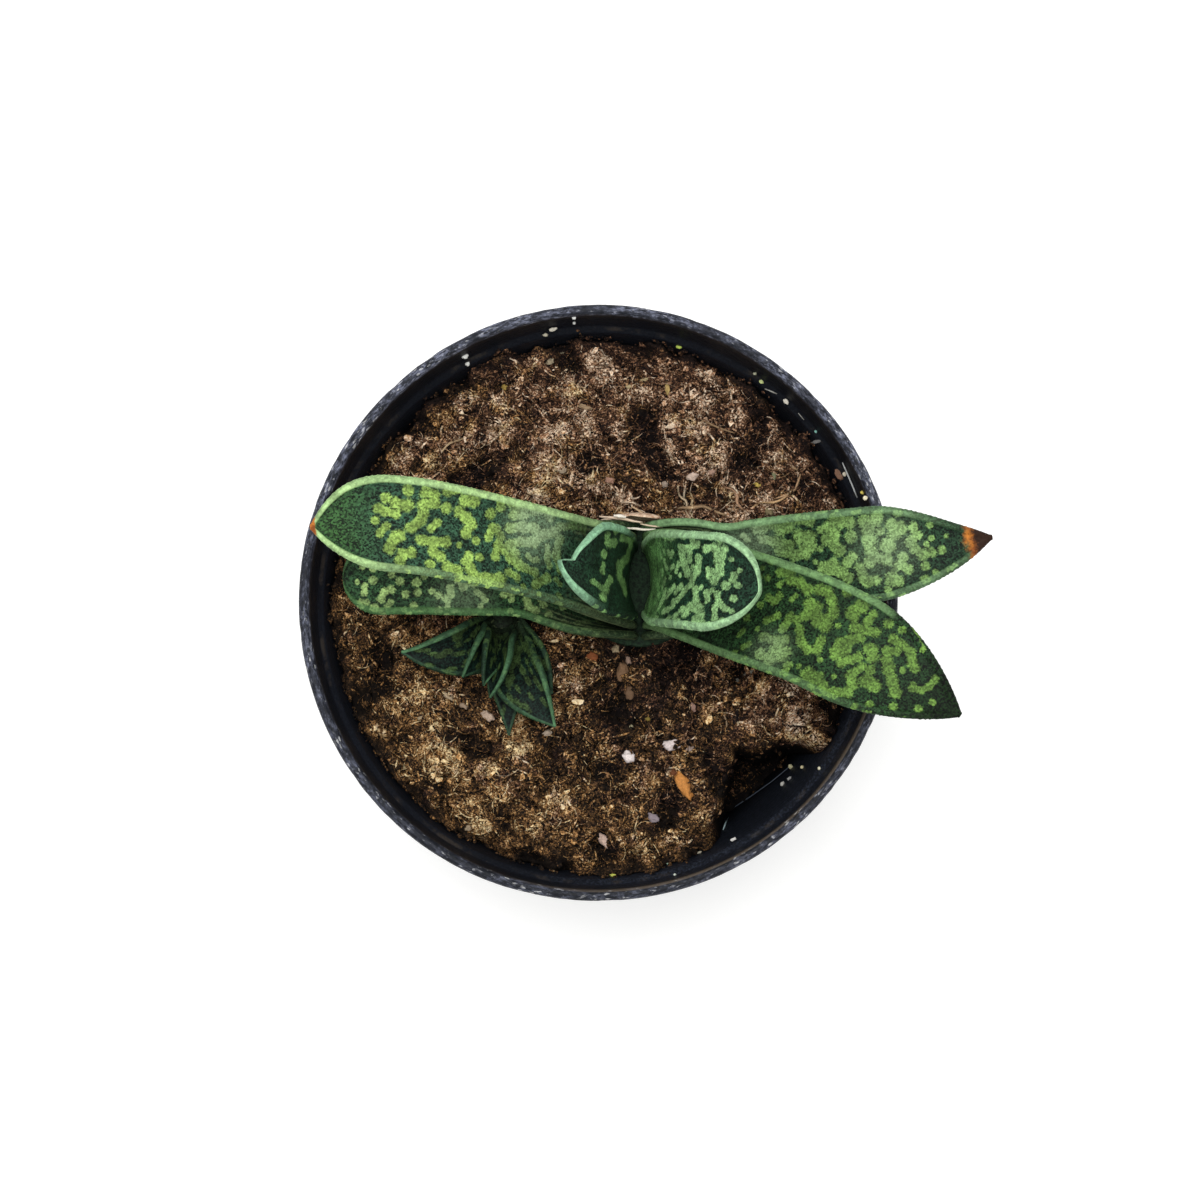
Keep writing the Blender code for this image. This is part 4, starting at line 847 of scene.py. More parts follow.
# widths are half widths and thickness is the whole, at the base and further out;
# strokes are blotches: a half width and the spots it runs through, in millimetres along the leaf and across;
# rims give how bright each margin is painted at distances from the tip, first where across is above 0, then
# below: the pale margin, brighter as painted light where it faces the light and dimmer as painted shade where
# it faces away;
# tip is its length, its pointedness and how fast it closes; wake is where the blotches begin to show
leaves = {
    "leaf_left_outer": {
        "spine": [(-2.0, 4.2, 79.5), (-2.0, 4.2, 81.6), (-3.6, 4.2, 84.6), (-6.8, 4.1, 87.4),
                  (-12.0, 4.0, 90.2), (-22.4, 3.9, 93.2), (-34.5, 4.0, 94.6), (-44.6, 3.6, 93.8)],
        "azimuths": (180.0, 181.0), "widths": (14.2, 6.2), "clasp": (1.52, 0.40), "opening": 20.0,
        "tip": (7.0, 2.0, 0.5), "thickness": (2.4, 4.6), "roll": -8.0, "seed": 21,
        "dark": (33, 57, 34), "pale": (130, 156, 95), "margin": (76, 112, 66),
        "plainTip": 2.0, "blotch": 0.75, "wake": (4.0, 20.0), "bloom": [(28.0, 4.0, 8.0, 0.6)],
        "room": 0.1, "streaks": 17.0,
        "rims": (((0, 0.6), (10, 0.9), (32, 0.8), (44, 0.1)), ((0, 0.4), (44, 0.1))),
    },
    "leaf_right_outer": {
        "spine": [(16.8, 4.2, 79.5), (16.8, 4.2, 81.6), (18.4, 4.4, 84.2), (21.8, 5.0, 87.0),
                  (28.0, 6.1, 91.0), (38.2, 6.9, 96.4), (48.4, 7.5, 101.2), (59.6, 8.6, 102.6),
                  (67.7, 10.2, 102.4)],
        "azimuths": (0.0, 6.0), "widths": (14.2, 7.9), "clasp": (1.52, 0.36), "opening": 15.0,
        "tip": (20.0, 1.5, 1.0), "thickness": (2.4, 5.2), "roll": 4.0, "seed": 22,
        "dark": (25, 45, 29), "pale": (107, 138, 76), "margin": (126, 162, 114),
        "plainTip": 7.0, "blotch": 0.7, "fillFrom": 16.0,
        "wake": (10.0, 34.0), "bloom": [(41.0, 1.0, 9.0, 0.5), (16.0, 4.0, 8.0, 0.75)],
        "streaks": 13.0, "dryTip": 3.9, "rust": 5.3, "bold": 1.1,
        "rims": (((0, 0), (7, 0.1), (14, 0.45), (30, 0.6), (44, 1)),
                 ((0, 0), (12, 0.5), (20, 0.3), (60, 0.1))),
        "strokes": [
            (0.87, (18.2, 6.7), (19.6, 6.7)), (0.78, (21.1, 7)), (1.04, (22.6, 5.9), (24.1, 6.3)),
            (0.86, (26.3, 7.4), (28.4, 6.9)), (1.21, (26.1, 4.3), (27.8, 4), (27.7, 2.6), (26.7, 1.8)),
            (0.87, (24, 3.1), (21.2, 3.9), (19.1, 4.7)), (0.95, (22, 2.2), (24.5, 1.2), (26.7, 1.2)),
            (1.03, (31.7, 5.5), (32.4, 4.1), (32.4, 2.2), (33.2, 1.2)),
            (1.03, (32.9, 6.8), (34.1, 6.3), (35.4, 5.9)), (0.86, (30.8, 3.3)),
            (0.95, (31, -2.2), (33, -2.6), (34.3, -3.9)), (1.03, (29.7, -1.6), (31.7, -1.2)),
            (1.11, (38.3, 5.9), (39.8, 5.9)), (1.11, (38.5, 4.3), (38.6, 2.6)), (0.85, (40.5, 6.8)),
            (0.86, (34.4, -1), (35.3, -0.2)), (0.94, (38.6, 0.8), (39.3, -0.6), (38.3, -1.4)),
            (0.94, (35.5, 3.3)), (1.03, (42.7, 4.7), (43.9, 4.1), (42.9, 3)), (1.20, (41.6, 1.2)),
            (0.85, (46.1, 4), (46.6, 2.6), (45.4, 1.5), (46.1, 0.2), (47.3, -1), (48.9, -0.8)),
            (1.03, (41, -1.2)), (0.85, (43.9, -1.1), (43.3, -2.4), (44.7, -3.3)),
            (1.11, (41.9, -4.5), (42.5, -5.1)), (0.68, (47.5, -3)), (0.68, (50.6, -0.6)),
            (0.51, (49.1, 1.7)), (0.43, (51.7, 1.8)), (0.51, (48.1, 0.7)), (0.86, (36.6, -2.2), (37, -4)),
            (0.86, (37.7, -4.9), (39, -4.7)),
        ],
    },
    "leaf_left_middle": {
        "spine": [(1.7, 4.2, 79.5), (1.7, 4.2, 83.6), (0.3, 4.6, 89.4), (-2.6, 5.4, 95.6),
                  (-7.2, 6.6, 101.8), (-16.8, 8.4, 109.6), (-26.5, 10.1, 115.0),
                  (-33.0, 10.8, 117.6), (-39.5, 11.0, 119.4), (-47.6, 10.2, 120.6)],
        "azimuths": (180.0, 179.0), "widths": (9.7, 7.8), "clasp": (1.15, 0.36), "opening": 27.0,
        "tip": (15.0, 2.8, 1.0), "thickness": (2.9, 5.8), "roll": 3.0, "seed": 23,
        "dark": (34, 58, 42), "tipDark": (42, 72, 32), "pale": (122, 149, 73), "margin": (160, 192, 130),
        "plainTip": 14.0, "blotch": 0.7, "fillFrom": 24.0,
        "wake": (24.0, 44.0), "bloom": [(31.0, -4.2, 9.0, 0.9)], "rust": 1.0, "streaks": 24.0,
        "rims": (((0, 1), (10, 0.95), (14, 0.5), (26, 0.22), (60, 0.1)), ((0, 1), (45, 0.9), (60, 0.5))),
        "strokes": [
            (0.91, (54.9, -6)), (0.91, (58.4, -4.3)), (1.08, (56.7, -3.6), (54.9, -3.4)),
            (0.83, (59.5, -2.5), (58.4, -2), (56.5, -1.8)), (0.74, (59.9, -0.4)),
            (0.74, (59.1, 1.8), (58, 0.4)), (1.08, (57.4, 4.2), (56.4, 2.2), (55.7, 2)),
            (0.99, (55.5, 6.2), (55.1, 5), (53.6, 4.6)), (1.00, (53.9, 0.4), (52.4, -1), (52, -2.4)),
            (0.75, (50.4, 0), (49.4, -1.2)), (1.08, (52, -4), (50.4, -4.4)),
            (1.00, (50.4, -4.8), (50.7, -5.8), (52, -6)), (1.00, (48.2, -4)),
            (1.00, (48.4, -6.8), (47.3, -7.3)), (0.91, (50.2, 6.2)),
            (1.00, (51.9, 2.2), (49.7, 2.2), (47.5, 1.8)), (1.00, (49.8, 2.4), (49.6, 4), (48.4, 4.6)),
            (1.17, (45.2, -5.8), (43.8, -6.1)), (1.09, (45.8, -3.8), (44.5, -3), (43.5, -2.2), (44.1, -0.4)),
            (0.84, (42.1, -7.8), (44.4, -7.7)), (0.92, (40.2, -4.6)), (0.92, (39, -7.7), (38.4, -6.2)),
            (0.92, (39.3, -2.2), (39.9, -0.6)), (0.84, (38.5, -2.2), (37.4, -1.1), (38, 0.6), (38.2, 2.6)),
            (0.93, (36.8, 1), (35.6, -0.2), (33.3, -1.2), (31.5, -1.4)),
            (1.10, (34.5, 1.3), (35.4, 2.2), (33.7, 3)), (1.00, (47, 6.1), (45.1, 6.6)),
            (1.09, (43.4, 4.6), (42.9, 5.6), (41.7, 7.1), (39.9, 6.9), (37.1, 6.4)), (0.84, (43.2, 3.4)),
            (0.84, (41.2, 3.4)), (1.27, (36.6, -7.8), (34.2, -7)), (1.02, (35.6, -5.4), (33.6, -6)),
            (1.11, (31.7, -7.2), (30, -7.8), (28.3, -6.9)), (1.02, (35.9, -3), (33.5, -3.8), (31, -4)),
            (1.02, (30.8, -1.4), (29.3, -3.2), (26.8, -4.2)), (1.27, (33.1, -7.8), (30.8, -7.8)),
            (0.84, (40, 7.8), (37.2, 7.8)), (0.75, (44.5, 7.8), (42.5, 7.8)),
            (0.93, (32.3, 3.4), (30.1, 3.8)), (0.93, (27.3, 4.2), (30, 6)), (0.84, (35.5, 4.9), (33.9, 5.5)),
            (0.86, (25.7, -5.4), (23.1, -6.3), (19.9, -6.5)),
            (1.03, (25.3, -3.2), (25.6, -0.4), (24.1, 2.2)),
        ],
    },
    "leaf_right_middle": {
        "spine": [(13.1, 4.2, 79.5), (13.1, 4.2, 84.0), (14.8, 3.4, 90.4), (18.2, 1.6, 96.8),
                  (24.0, -1.2, 102.8), (31.4, -4.4, 108.6), (37.2, -7.0, 112.0),
                  (44.0, -10.8, 114.6), (52.8, -16.2, 116.4), (60.2, -20.8, 116.6)],
        "azimuths": (0.0, -29.0), "widths": (9.7, 9.2), "clasp": (1.15, 0.36), "opening": 27.0,
        "tip": (22.0, 1.85, 1.0), "thickness": (2.9, 6.0), "roll": -2.0, "seed": 24,
        "dark": (24, 44, 23), "tipDark": (8, 20, 5), "pale": (87, 117, 52), "margin": (112, 148, 96),
        "plainTip": 10.0, "blotch": 0.7, "fillFrom": 30.0, "rootTone": (66, 94, 55),
        "wake": (20.0, 46.0), "bloom": [(38.0, -6.0, 6.0, 0.4)], "streaks": 17.0,
        "rims": (((0, 0), (17, 0), (19.5, 0.8), (60, 1)),
                 ((0, 0), (14, 0.05), (22, 0.35), (36, 0.5), (60, 0.8))),
        "strokes": [
            (0.85, (32, 9)), (1.01, (36.6, 6.8), (38.3, 7), (40.1, 6.3)), (0.84, (34.3, 7.5), (36.2, 8.1)),
            (1.00, (42.1, 7), (43.3, 7), (44.3, 6.1)), (1.09, (41.3, 4.1), (42.4, 3.9)),
            (1.00, (41.3, 2), (42.8, 2.7), (44.7, 2.5), (45.4, 4.1), (45.3, 4.6)),
            (1.09, (45.3, 1.5), (43.7, 1.7)), (0.92, (41.3, -0.7), (42.3, -2.4), (44.4, -3.5)),
            (0.92, (45.6, -1), (45.8, -2.7)), (0.93, (38.8, 0.7), (38.3, -1.5)), (0.84, (40.2, 0.7)),
            (1.43, (39, -5.1), (40.2, -5.6)), (1.01, (36.4, -7), (38.7, -7.5)),
            (0.92, (42.3, -7.3), (42.3, -8.9)), (0.92, (49, -2.2), (50.1, -0.7), (49.9, 1.2), (51.2, 2.4)),
            (0.83, (50.6, -2.9), (51.6, -1.7), (52.6, -0.5)), (1.17, (48.2, 5.6), (49.2, 7.3)),
            (0.92, (48.8, 5.1)), (0.92, (49.7, 3.6), (51.2, 3.9), (53, 4.5)), (0.83, (51.1, 5.6)),
            (0.75, (51.3, 7)), (0.83, (54.2, 6.9)), (0.83, (46.1, 8.3)), (1.16, (53.8, 1.6), (54.6, 0.7)),
            (1.08, (56.8, 1.5), (58, 0.2), (59.6, -1.3), (60.9, -2.6)),
            (0.91, (56.2, 5), (57.9, 5), (59.6, 4.6), (60.9, 3.3), (61.6, 2.8)),
            (0.75, (56, 2.8), (57.6, 3.5)), (1.25, (55.9, -3.3), (57.3, -3.5)), (0.91, (55.4, -1.6)),
            (1.00, (53, -4), (54.2, -5.3), (54.2, -6.8), (52.4, -7.9)), (1.33, (46.5, -7.2), (48.3, -7.3)),
            (1.00, (50, -7.8), (51.4, -8.6)), (0.75, (48.3, -9.2)),
            (0.66, (62.8, 0), (62.8, -0.6), (64.3, -0), (65.1, 1.2), (65.3, 2.9)), (0.58, (66.9, -0.7)),
            (0.66, (65.5, -2.9)), (0.75, (61.8, -4.8)), (0.66, (58.3, -6.7)),
            (0.75, (54, -1.6), (53.6, -2.6)), (0.92, (48.7, 0.2), (48.7, -1.5)),
            (0.84, (35.4, -4.1), (38.2, -3.9), (39.6, -3.2)), (0.76, (34.8, -1.2), (36.4, 0.2)),
        ],
    },
    "leaf_left_inner": {
        "spine": [(5.1, 4.2, 79.5), (5.1, 4.2, 86.0), (4.4, 4.2, 95.0), (2.6, 4.1, 105.0),
                  (-0.6, 4.0, 114.6), (-3.2, 4.1, 119.8), (-6.1, 4.4, 123.4)],
        "azimuths": (180.0, 182.0), "widths": (6.4, 7.6), "clasp": (0.60, 0.40), "opening": 18.0,
        "tip": (16.0, 2.0, 0.52), "thickness": (2.3, 4.2), "roll": 0.0, "seed": 25,
        "dark": (20, 40, 27), "pale": (98, 132, 78), "margin": (138, 184, 146),
        "plainTip": 8.0, "blotch": 0.8, "wake": (0.0, 5.0), "stretch": 2.4, "bold": 1.3, "notch": 3.2,
        "rims": (((0, 1), (4.5, 0.9), (8, 0.12), (12, 0)), ((0, 1), (22, 0.9), (29, 0.2), (40, 0))),
        "strokes": [
            (0.60, (32.3, -5.7), (32, -4.8)), (0.66, (28.2, -4.9), (30.1, -4.5)), (0.48, (28.4, -6.8)),
            (0.56, (23.6, -6), (15.6, -6)),
            (0.95, (14.4, -5.7), (15.2, -3.5), (22.5, -1), (22.5, 0.6), (19.6, 2.1), (19.4, 2.8)),
            (0.60, (32.9, -2.5)), (0.42, (33.1, -0.7), (33.3, 0.6)), (0.48, (37.4, 2.7), (36.1, 3.2)),
            (0.60, (30, 1.7), (33.1, 3.6), (34.7, 5.2)),
        ],
    },
    "leaf_right_inner": {
        "spine": [(9.7, 4.2, 79.5), (9.7, 4.2, 86.0), (11.0, 3.5, 97.0), (13.8, 2.5, 107.0),
                  (18.0, 1.4, 116.0), (22.0, 0.4, 121.8), (26.2, -0.9, 125.6)],
        "azimuths": (0.0, -12.0), "widths": (6.4, 8.0), "clasp": (0.60, 0.40), "opening": 18.0,
        "tip": (10.5, 2.0, 0.5), "thickness": (2.3, 4.6), "roll": 0.0, "seed": 26,
        "dark": (21, 42, 29), "pale": (122, 158, 104), "margin": (152, 190, 142),
        "plainTip": 5.0, "blotch": 0.6, "fillFrom": 19.0, "room": 0.55, "wake": (12.0, 24.0),
        # its base is painted much lighter: painted light on a steep face that lies in the shade of the leaf
        # beside it
        "stretch": 1.6, "bold": 1.1, "rootTone": (104, 150, 88), "rootEnd": 29.0,
        "rims": (((0, 1), (30, 1), (50, 0.8)), ((0, 1), (10, 0.9), (20, 0.6), (50, 0.5))),
        "strokes": [
            (0.84, (29.8, 4.3), (30.2, 3.1), (31.7, 1.4)), (0.60, (29.1, 5.6), (32.1, 5.6), (35, 6.2)),
            (0.72, (35.5, 3.9), (35.5, 1.7), (34.1, 0.4)), (0.60, (33.6, -0.6), (31.7, -1.9), (30.4, -3.5)),
            (0.65, (35.8, -1.4), (36.9, -3.5)), (0.47, (37.6, -1)), (0.65, (37.7, 5.6), (39.8, 6)),
            (0.41, (38.6, 2.3), (39, 1)), (0.77, (40.8, 5.6), (41.5, 3.5), (41.8, 1.8), (41, 0.4)),
            (0.53, (42.9, 6), (42.3, 4.7)), (0.41, (44.5, 4.3)), (0.53, (45.5, 1.8), (45.4, 0.9)),
            (0.41, (46.6, 2.7)), (0.70, (44, -0.2)), (0.47, (46.7, 0.2)), (0.53, (46.7, -2.1)),
            (0.59, (42.6, -1.8), (43.6, -3.3), (45.7, -4.1)), (0.53, (43, -4.2), (44, -6)),
            (0.41, (47.3, -4.3)), (0.47, (39.4, -1.7), (40.5, -3.1)),
            (0.83, (35.5, -4.7), (38.6, -4.7), (39.9, -6), (39.4, -6.8)), (0.66, (35.1, -6)),
            (0.47, (43.2, -7.2)), (0.60, (32.4, 4.7), (32.4, 3.5)), (0.53, (39.2, 1.2), (39.9, 1.9)),
            (0.48, (28.2, 2.7), (27.5, 1.4)),
        ],
    },
}


def waves(values, seed, size):
    # smooth random numbers between -1 and 1 along a line
    return np.array([noise.noise(Vector((v / size, seed * 7.7, 0.0))) for v in values])


def between(pair, share):
    # from the first number of a pair to the second
    return pair[0] + (pair[1] - pair[0]) * share


def leafBody(spec, form):
    # closed sections from base to tip; returns the points and what a finish needs to know of each
    place, way, along, length = spineCurve(spec["spine"], form["stations"], form["crowding"])
    toTip, band = length - along, form["band"]
    azimuth = np.radians(between(spec["azimuths"], smoothstep(0.0, length, along)))
    side = np.stack([-np.sin(azimuth), np.cos(azimuth), 0 * azimuth], axis=1)
    side -= (side * way).sum(1)[:, None] * way
    side /= np.linalg.norm(side, axis=1)[:, None]
    roll = np.radians(spec["roll"]) * smoothstep(0.0, 0.5 * length, along)
    side = side * np.cos(roll)[:, None] + np.cross(way, side) * np.sin(roll)[:, None]
    up = np.cross(way, side)
    opened = smoothstep(0.0, spec.get("opening", 7.0), along)
    width, (run, power, bluntness) = between(spec["widths"], opened), spec["tip"]
    width = width * (1 - (1 - np.minimum(toTip / run, 1.0)) ** power) ** bluntness
    least, slope, run = form["leastTip"]
    width = np.maximum(width, least + slope * np.minimum(toTip, run))
    thick = between(spec["thickness"], smoothstep(0, form["fullBy"] * length, along))
    thick = thick * (form["tipShare"] + (1 - form["tipShare"])
                     * np.minimum(toTip / (form["thinning"] * length), 1.0) ** 0.7)
    edge = np.minimum(form["edge"], 0.55 * thick)
    bend = width / between(spec["clasp"], opened)
    inner = 1 - np.minimum(form["marginWidth"] * 1.4 / width, 0.45)
    middle = np.linspace(-1, 1, form["across"])[None, :] * inner[:, None]
    rising = np.arange(1, band + 1) / band
    rim = inner[:, None] + (1 - inner)[:, None] * rising[None, :]
    reach = np.hstack([-rim[:, ::-1], middle, rim])

    def surface(share, lift):
        turn, radius = reach * (width / bend)[:, None], bend[:, None, None]
        sine, cosine = np.sin(turn)[..., None], np.cos(turn)[..., None]
        centre = place[:, None] + side[:, None] * radius * sine + up[:, None] * radius * (1 - cosine)
        local = edge[:, None] + (thick - edge)[:, None] * np.clip(1 - reach * reach, 0, 1) ** 0.75
        return centre + (up[:, None] * cosine - side[:, None] * sine) * (local * share + lift)[..., None]

    inset = width[:, None] * (1 - np.abs(reach))
    strength, fade = np.minimum(width / 3.0, 1.0)[:, None], np.minimum(inset / 2, 1)
    bead = bump(*form["beadAt"], inset) - form["groove"] * bump(*form["grooveAt"], inset)
    swell = np.array([[noise.noise(Vector((a / form["swellSize"], b * 0.8, spec["seed"]))) for b in row]
                      for a, row in zip(along, reach)])
    top = surface(form["upperShare"], form["bead"] * bead * strength + form["swell"] * swell * fade)
    under = surface(form["upperShare"] - 1, form["swellUnder"] * swell * fade)
    tall = np.arange(1, form["wall"] + 1) / (form["wall"] + 1)
    ramp, outline = rising[None, :, None] ** 2, [top]
    for sign, start, end in ((1, top[:, -1:], under[:, -1:]), (-1, under[:, :1], top[:, :1])):
        sideways = side[:, None] * sign * np.cos(width / bend)[:, None, None]
        sideways = sideways + up[:, None] * np.sin(width / bend)[:, None, None]
        wall = start + (end - start) * tall[None, :, None]
        wall = wall + sideways * (np.sin(math.pi * tall)[None, :] * form["bulge"] * edge[:, None])[..., None]
        wander = form["toothWander"] * waves(along, spec["seed"] + sign, 1.3)
        teeth = np.sin(2 * math.pi * along / form["toothPitch"] + wander)
        teeth = np.maximum(teeth, -0.2) * (0.6 + 0.8 * waves(along, spec["seed"] + 3 * sign, 2.0))
        push = sideways * (form["tooth"] * teeth * strength[:, 0])[:, None, None]
        outline.append(wall + push)
        if sign > 0:
            top[:, -band:] += push * ramp
            outline.append(under[:, ::-1])
        else:
            top[:, :band] += push * ramp[:, ::-1]
    points = np.concatenate(outline, axis=1)
    zero = np.zeros((len(along), form["wall"]))
    acrossMm = reach * width[:, None]
    fields = {
        "inset": np.hstack([inset, zero, inset[:, ::-1], zero]),
        "across": np.hstack([acrossMm, zero + width[:, None], acrossMm[:, ::-1], zero - width[:, None]]),
        "under": np.hstack([0 * reach, zero + 0.5, 0 * reach + 1, zero + 0.5]),
        "along": np.repeat(along[:, None], points.shape[1], 1),
        "toTip": np.repeat(toTip[:, None], points.shape[1], 1),
    }
    return points, fields, reach.shape[1], length


def leafFaces(points, count, offset=0):
    stations, around = points.shape[:2]
    faces = [tuple(offset + i for i in face) for face in tubeFaces(stations, around)]
    wall = (around - 2 * count) // 2
    for ring, flip in ((0, False), (stations - 1, True)):
        base = offset + ring * around
        last = base + 2 * count + wall - 1
        rows = [(base + i, base + i + 1, last - 1 - i, last - i) for i in range(count - 1)]
        rows.append(tuple(base + count - 1 + i for i in range(wall + 2)))
        rows.append(tuple(base + (2 * count + wall - 1 + i) % around for i in range(wall + 2)))
        faces += [tuple(reversed(row)) if flip else row for row in rows]
    return faces


def grown(spec, length, seed, given=()):
    # short wandering chains of round blobs, crowded towards the base, in the room that given strokes leave
    draw = random.Random(seed)
    half, lines, taken = max(spec["widths"]), [], [spot for stroke in given for spot in stroke[1:]]
    start = spec.get("fillFrom", 3.0)
    for _ in range(growth["tries"]):
        a, b = draw.uniform(start, max(start + 1.0, length - spec["plainTip"])), draw.uniform(-half, half)
        heading, radius = draw.uniform(0, 2 * math.pi), spec["blotch"] * draw.uniform(*growth["sizes"])
        crowd, chain, pace = 1 - a / length, [(a, b)], growth["pace"] * radius
        for _ in range(draw.randrange(0, 2 + round(4 * crowd))):
            heading += draw.gauss(0, growth["wander"])
            a, b = a + pace * math.cos(heading), b + pace * math.sin(heading)
            chain.append((a, b))
        room = 2 * radius + spec.get("room", 1.0 - 0.9 * crowd)
        if all(math.dist(spot, other) > room for spot in chain for other in taken):
            lines.append((radius, *chain))
            taken += chain
    return lines


def drawn(lines, along, across, stretch):
    # 1 in the middle of each stroke, 0 at its edge and less outside; a stroke bulges at its spots
    best = np.full(along.shape, -1.0)
    for radius, *spots in lines:
        for (a, b), (c, d) in zip(spots, spots[1:] or spots):
            span = max((c - a) ** 2 + (d - b) ** 2, 0.000001)
            share = np.clip(((along - a) * (c - a) + (across - b) * (d - b)) / span, 0, 1)
            away = np.hypot((along - a - share * (c - a)) / stretch, across - b - share * (d - b))
            best = np.maximum(best, 1 - away / (radius * (1 - 0.2 * np.sin(math.pi * share))))
    return best


def paintLeaf(spec, fields, length):
    # adds the blotches, the bloom with its painted highlight, and the brightness of the margins with painted
    # light and shade by side
    along, across, top = fields["along"], fields["across"], fields["under"] < 0.4
    lines = spec.get("strokes", [])
    if not lines or "fillFrom" in spec:
        lines = lines + grown(spec, length, spec["seed"], lines)
    lines = [(radius * spec.get("bold", 1.0), *spots) for radius, *spots in lines]
    upper = drawn(lines, along, across, spec.get("stretch", 1.0))
    fields["blotch"] = np.where(top, upper, drawn(grown(spec, length, spec["seed"] + 40), along, across, 1.0))
    fields["bloom"] = np.zeros(along.shape)
    for a, b, radius, strength in spec.get("bloom", []):
        glow = strength * (1 - smoothstep(0.2 * radius, radius, np.hypot(along - a, across - b))) * top
        fields["bloom"] = np.maximum(fields["bloom"], glow)
    near, far = (np.interp(fields["toTip"], *zip(*side)) for side in spec["rims"])
    fields["rim"] = np.where(across > 0, near, far)
    del fields["across"]


def leafFinish(name, spec):
    look, finish = leafLook, Finish(name)
    toTip, along, inset = (finish.field(field) for field in ("toTip", "along", "inset"))
    grit, cell = finish.noise(look["grit"], 4.0, 0.85), finish.cells(look["speck"])
    soft = finish.noise(look["soft"], 3.0, 0.6).step(0.3, 0.7)
    ragged = finish.noise(look["ragged"], 4.0, 0.8) - 0.5
    lumpy = finish.noise(look["lump"], 2.0, 0.5) - 0.5
    blotch = finish.field("blotch") + ragged * 0.7 + lumpy * 0.8 + (cell - 0.5) * 0.2
    blotch = blotch.step(*look["edges"])
    grain = ((grit - 0.5) * 1.2 + (cell - 0.5) * 2.0 + 1.0).step(0.0, 2.0)
    dark = soft.mix(toned(spec["dark"], 0.84), toned(spec["dark"], 1.18))
    pale = (0.66 + grain * 0.68).shade(soft.mix(toned(spec["pale"], 0.82), toned(spec["pale"], 1.16)))
    if "tipDark" in spec:
        dark = ((1 - toTip.step(*look["tipRun"])) * look["tipShare"]).mix(dark, tint(*spec["tipDark"]))
    dark = (0.15 + grain * 1.7).shade(dark)
    bare, fuller = look["blotchShare"]
    colour = (blotch * (bare + fuller * along.step(*spec["wake"]))).mix(dark, pale)
    # the base is plainer, and the flanks of the clasping bases are dry and lined
    root = spec.get("rootTone", look["rootTone"])
    root = (0.4 + grain * 1.2).shade(soft.mix(toned(root, 0.72), toned(root, 1.22)))
    rootEnd = spec.get("rootEnd", spec["wake"][0] + look["rootRun"])
    colour = ((1 - (along + lumpy * 9).step(0.5 * rootEnd, rootEnd)) * look["rootShare"]).mix(colour, root)
    streaks = spec.get("streaks", 0.1)
    old = (1 - (along + lumpy * 8).step(0.7 * streaks, streaks))
    old = old * (1 - inset.step(*look["flankReach"])) * look["flankShare"]
    lines = finish.wire.math("SINE", inset * look["flankLines"] + ragged * 7).step(0.0, 0.9)
    colour = old.mix(colour, lines.mix(look["flankLow"], look["flankHigh"]))
    # the pale bloom, partly a painted highlight on the listed patches, mostly on the blotches
    bloom = finish.field("bloom") * (0.5 + 0.8 * finish.noise(look["bloomSheenGrain"], 4.0, 0.7))
    bloom = (bloom * (0.42 + 0.58 * blotch) * (0.7 + 0.6 * cell)).clamp()
    colour = (bloom * look["bloomSheenShare"]).mix(colour, look["bloom"])
    # the horny margin, brighter as painted light on the lit side and dimmer as painted shade on the other
    width, shine = spec.get("marginWidth", leafForm["marginWidth"]), finish.field("rim")
    # painted shadow: a dark line just inside the margin, where its raised bead would shade the channel
    groove = (1 - abs(inset - 1.6 * width).step(0.1, 0.45)) * shine
    colour = (groove * 0.35).mix(colour, toned(spec["dark"], 0.7))
    rim = 1 - (inset + ragged * 0.3).step(width * 0.72, width * 1.15)
    # painted shade: the margin is dimmer on the leaf's walls and underside
    rim = rim * shine * (1 - 0.55 * finish.field("under"))
    edge = finish.noise(look["marginGrain"], 3.0, 0.6).step(0.3, 0.7)
    edge = edge.mix(toned(spec["margin"], 0.84), toned(spec["margin"], 1.12))
    colour = (rim * look["rimShare"]).mix(colour, edge)
    if "rust" in spec:  # the tip is rusty, and the very end of one is dry and dark
        reach = toTip + (ragged + lumpy) * spec["rust"] * 0.45
        burnt = 1 - reach.step(spec["rust"] * 0.7, spec["rust"])
        colour = burnt.mix(colour, soft.mix(look["rustLow"], look["rustHigh"]))
        if "dryTip" in spec:
            dry = 1 - reach.step(spec["dryTip"] * 0.7, spec["dryTip"] * 1.1)
            colour = dry.mix(colour, look["dry"])
    colour = (0.82 + cell * 0.36).shade(colour)
    height = grit * 0.6 + cell * 0.3 + blotch * 0.25
    return finish.put(Base_Color=colour, Roughness=(0.5 + grit * 0.14 - bloom * 0.08).clamp(),
                      Normal=finish.relief(height, look["relief"]), Specular_IOR_Level=look["shine"])


def makeLeaf(name, spec):
    points, fields, count, length = leafBody(spec, leafForm)
    if "notch" in spec:  # one half of the leaf ends before the other
        way = Vector(spec["spine"][-1]) - Vector(spec["spine"][-2])
        half = 1 - smoothstep(0.0, leafForm["notchRun"], fields["toTip"])
        half = half * smoothstep(0.0, 0.5, -fields["across"])
        points = points - half[..., None] * spec["notch"] * np.array(way.normalized())
    paintLeaf(spec, fields, length)
    piece = makePiece(name.replace("leaf_", "tongue_"), points.reshape(-1, 3), leafFaces(points, count),
                      leafFinish(name + "_skin", spec),
                      {field: values.ravel() for field, values in fields.items()})
    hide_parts(name)


for leafName, leafSpec in leaves.items():
    makeLeaf(leafName, leafSpec)
print("leaves ready")


# Offset: seven small leaves on one short stem, and the old papery sheath behind the crown

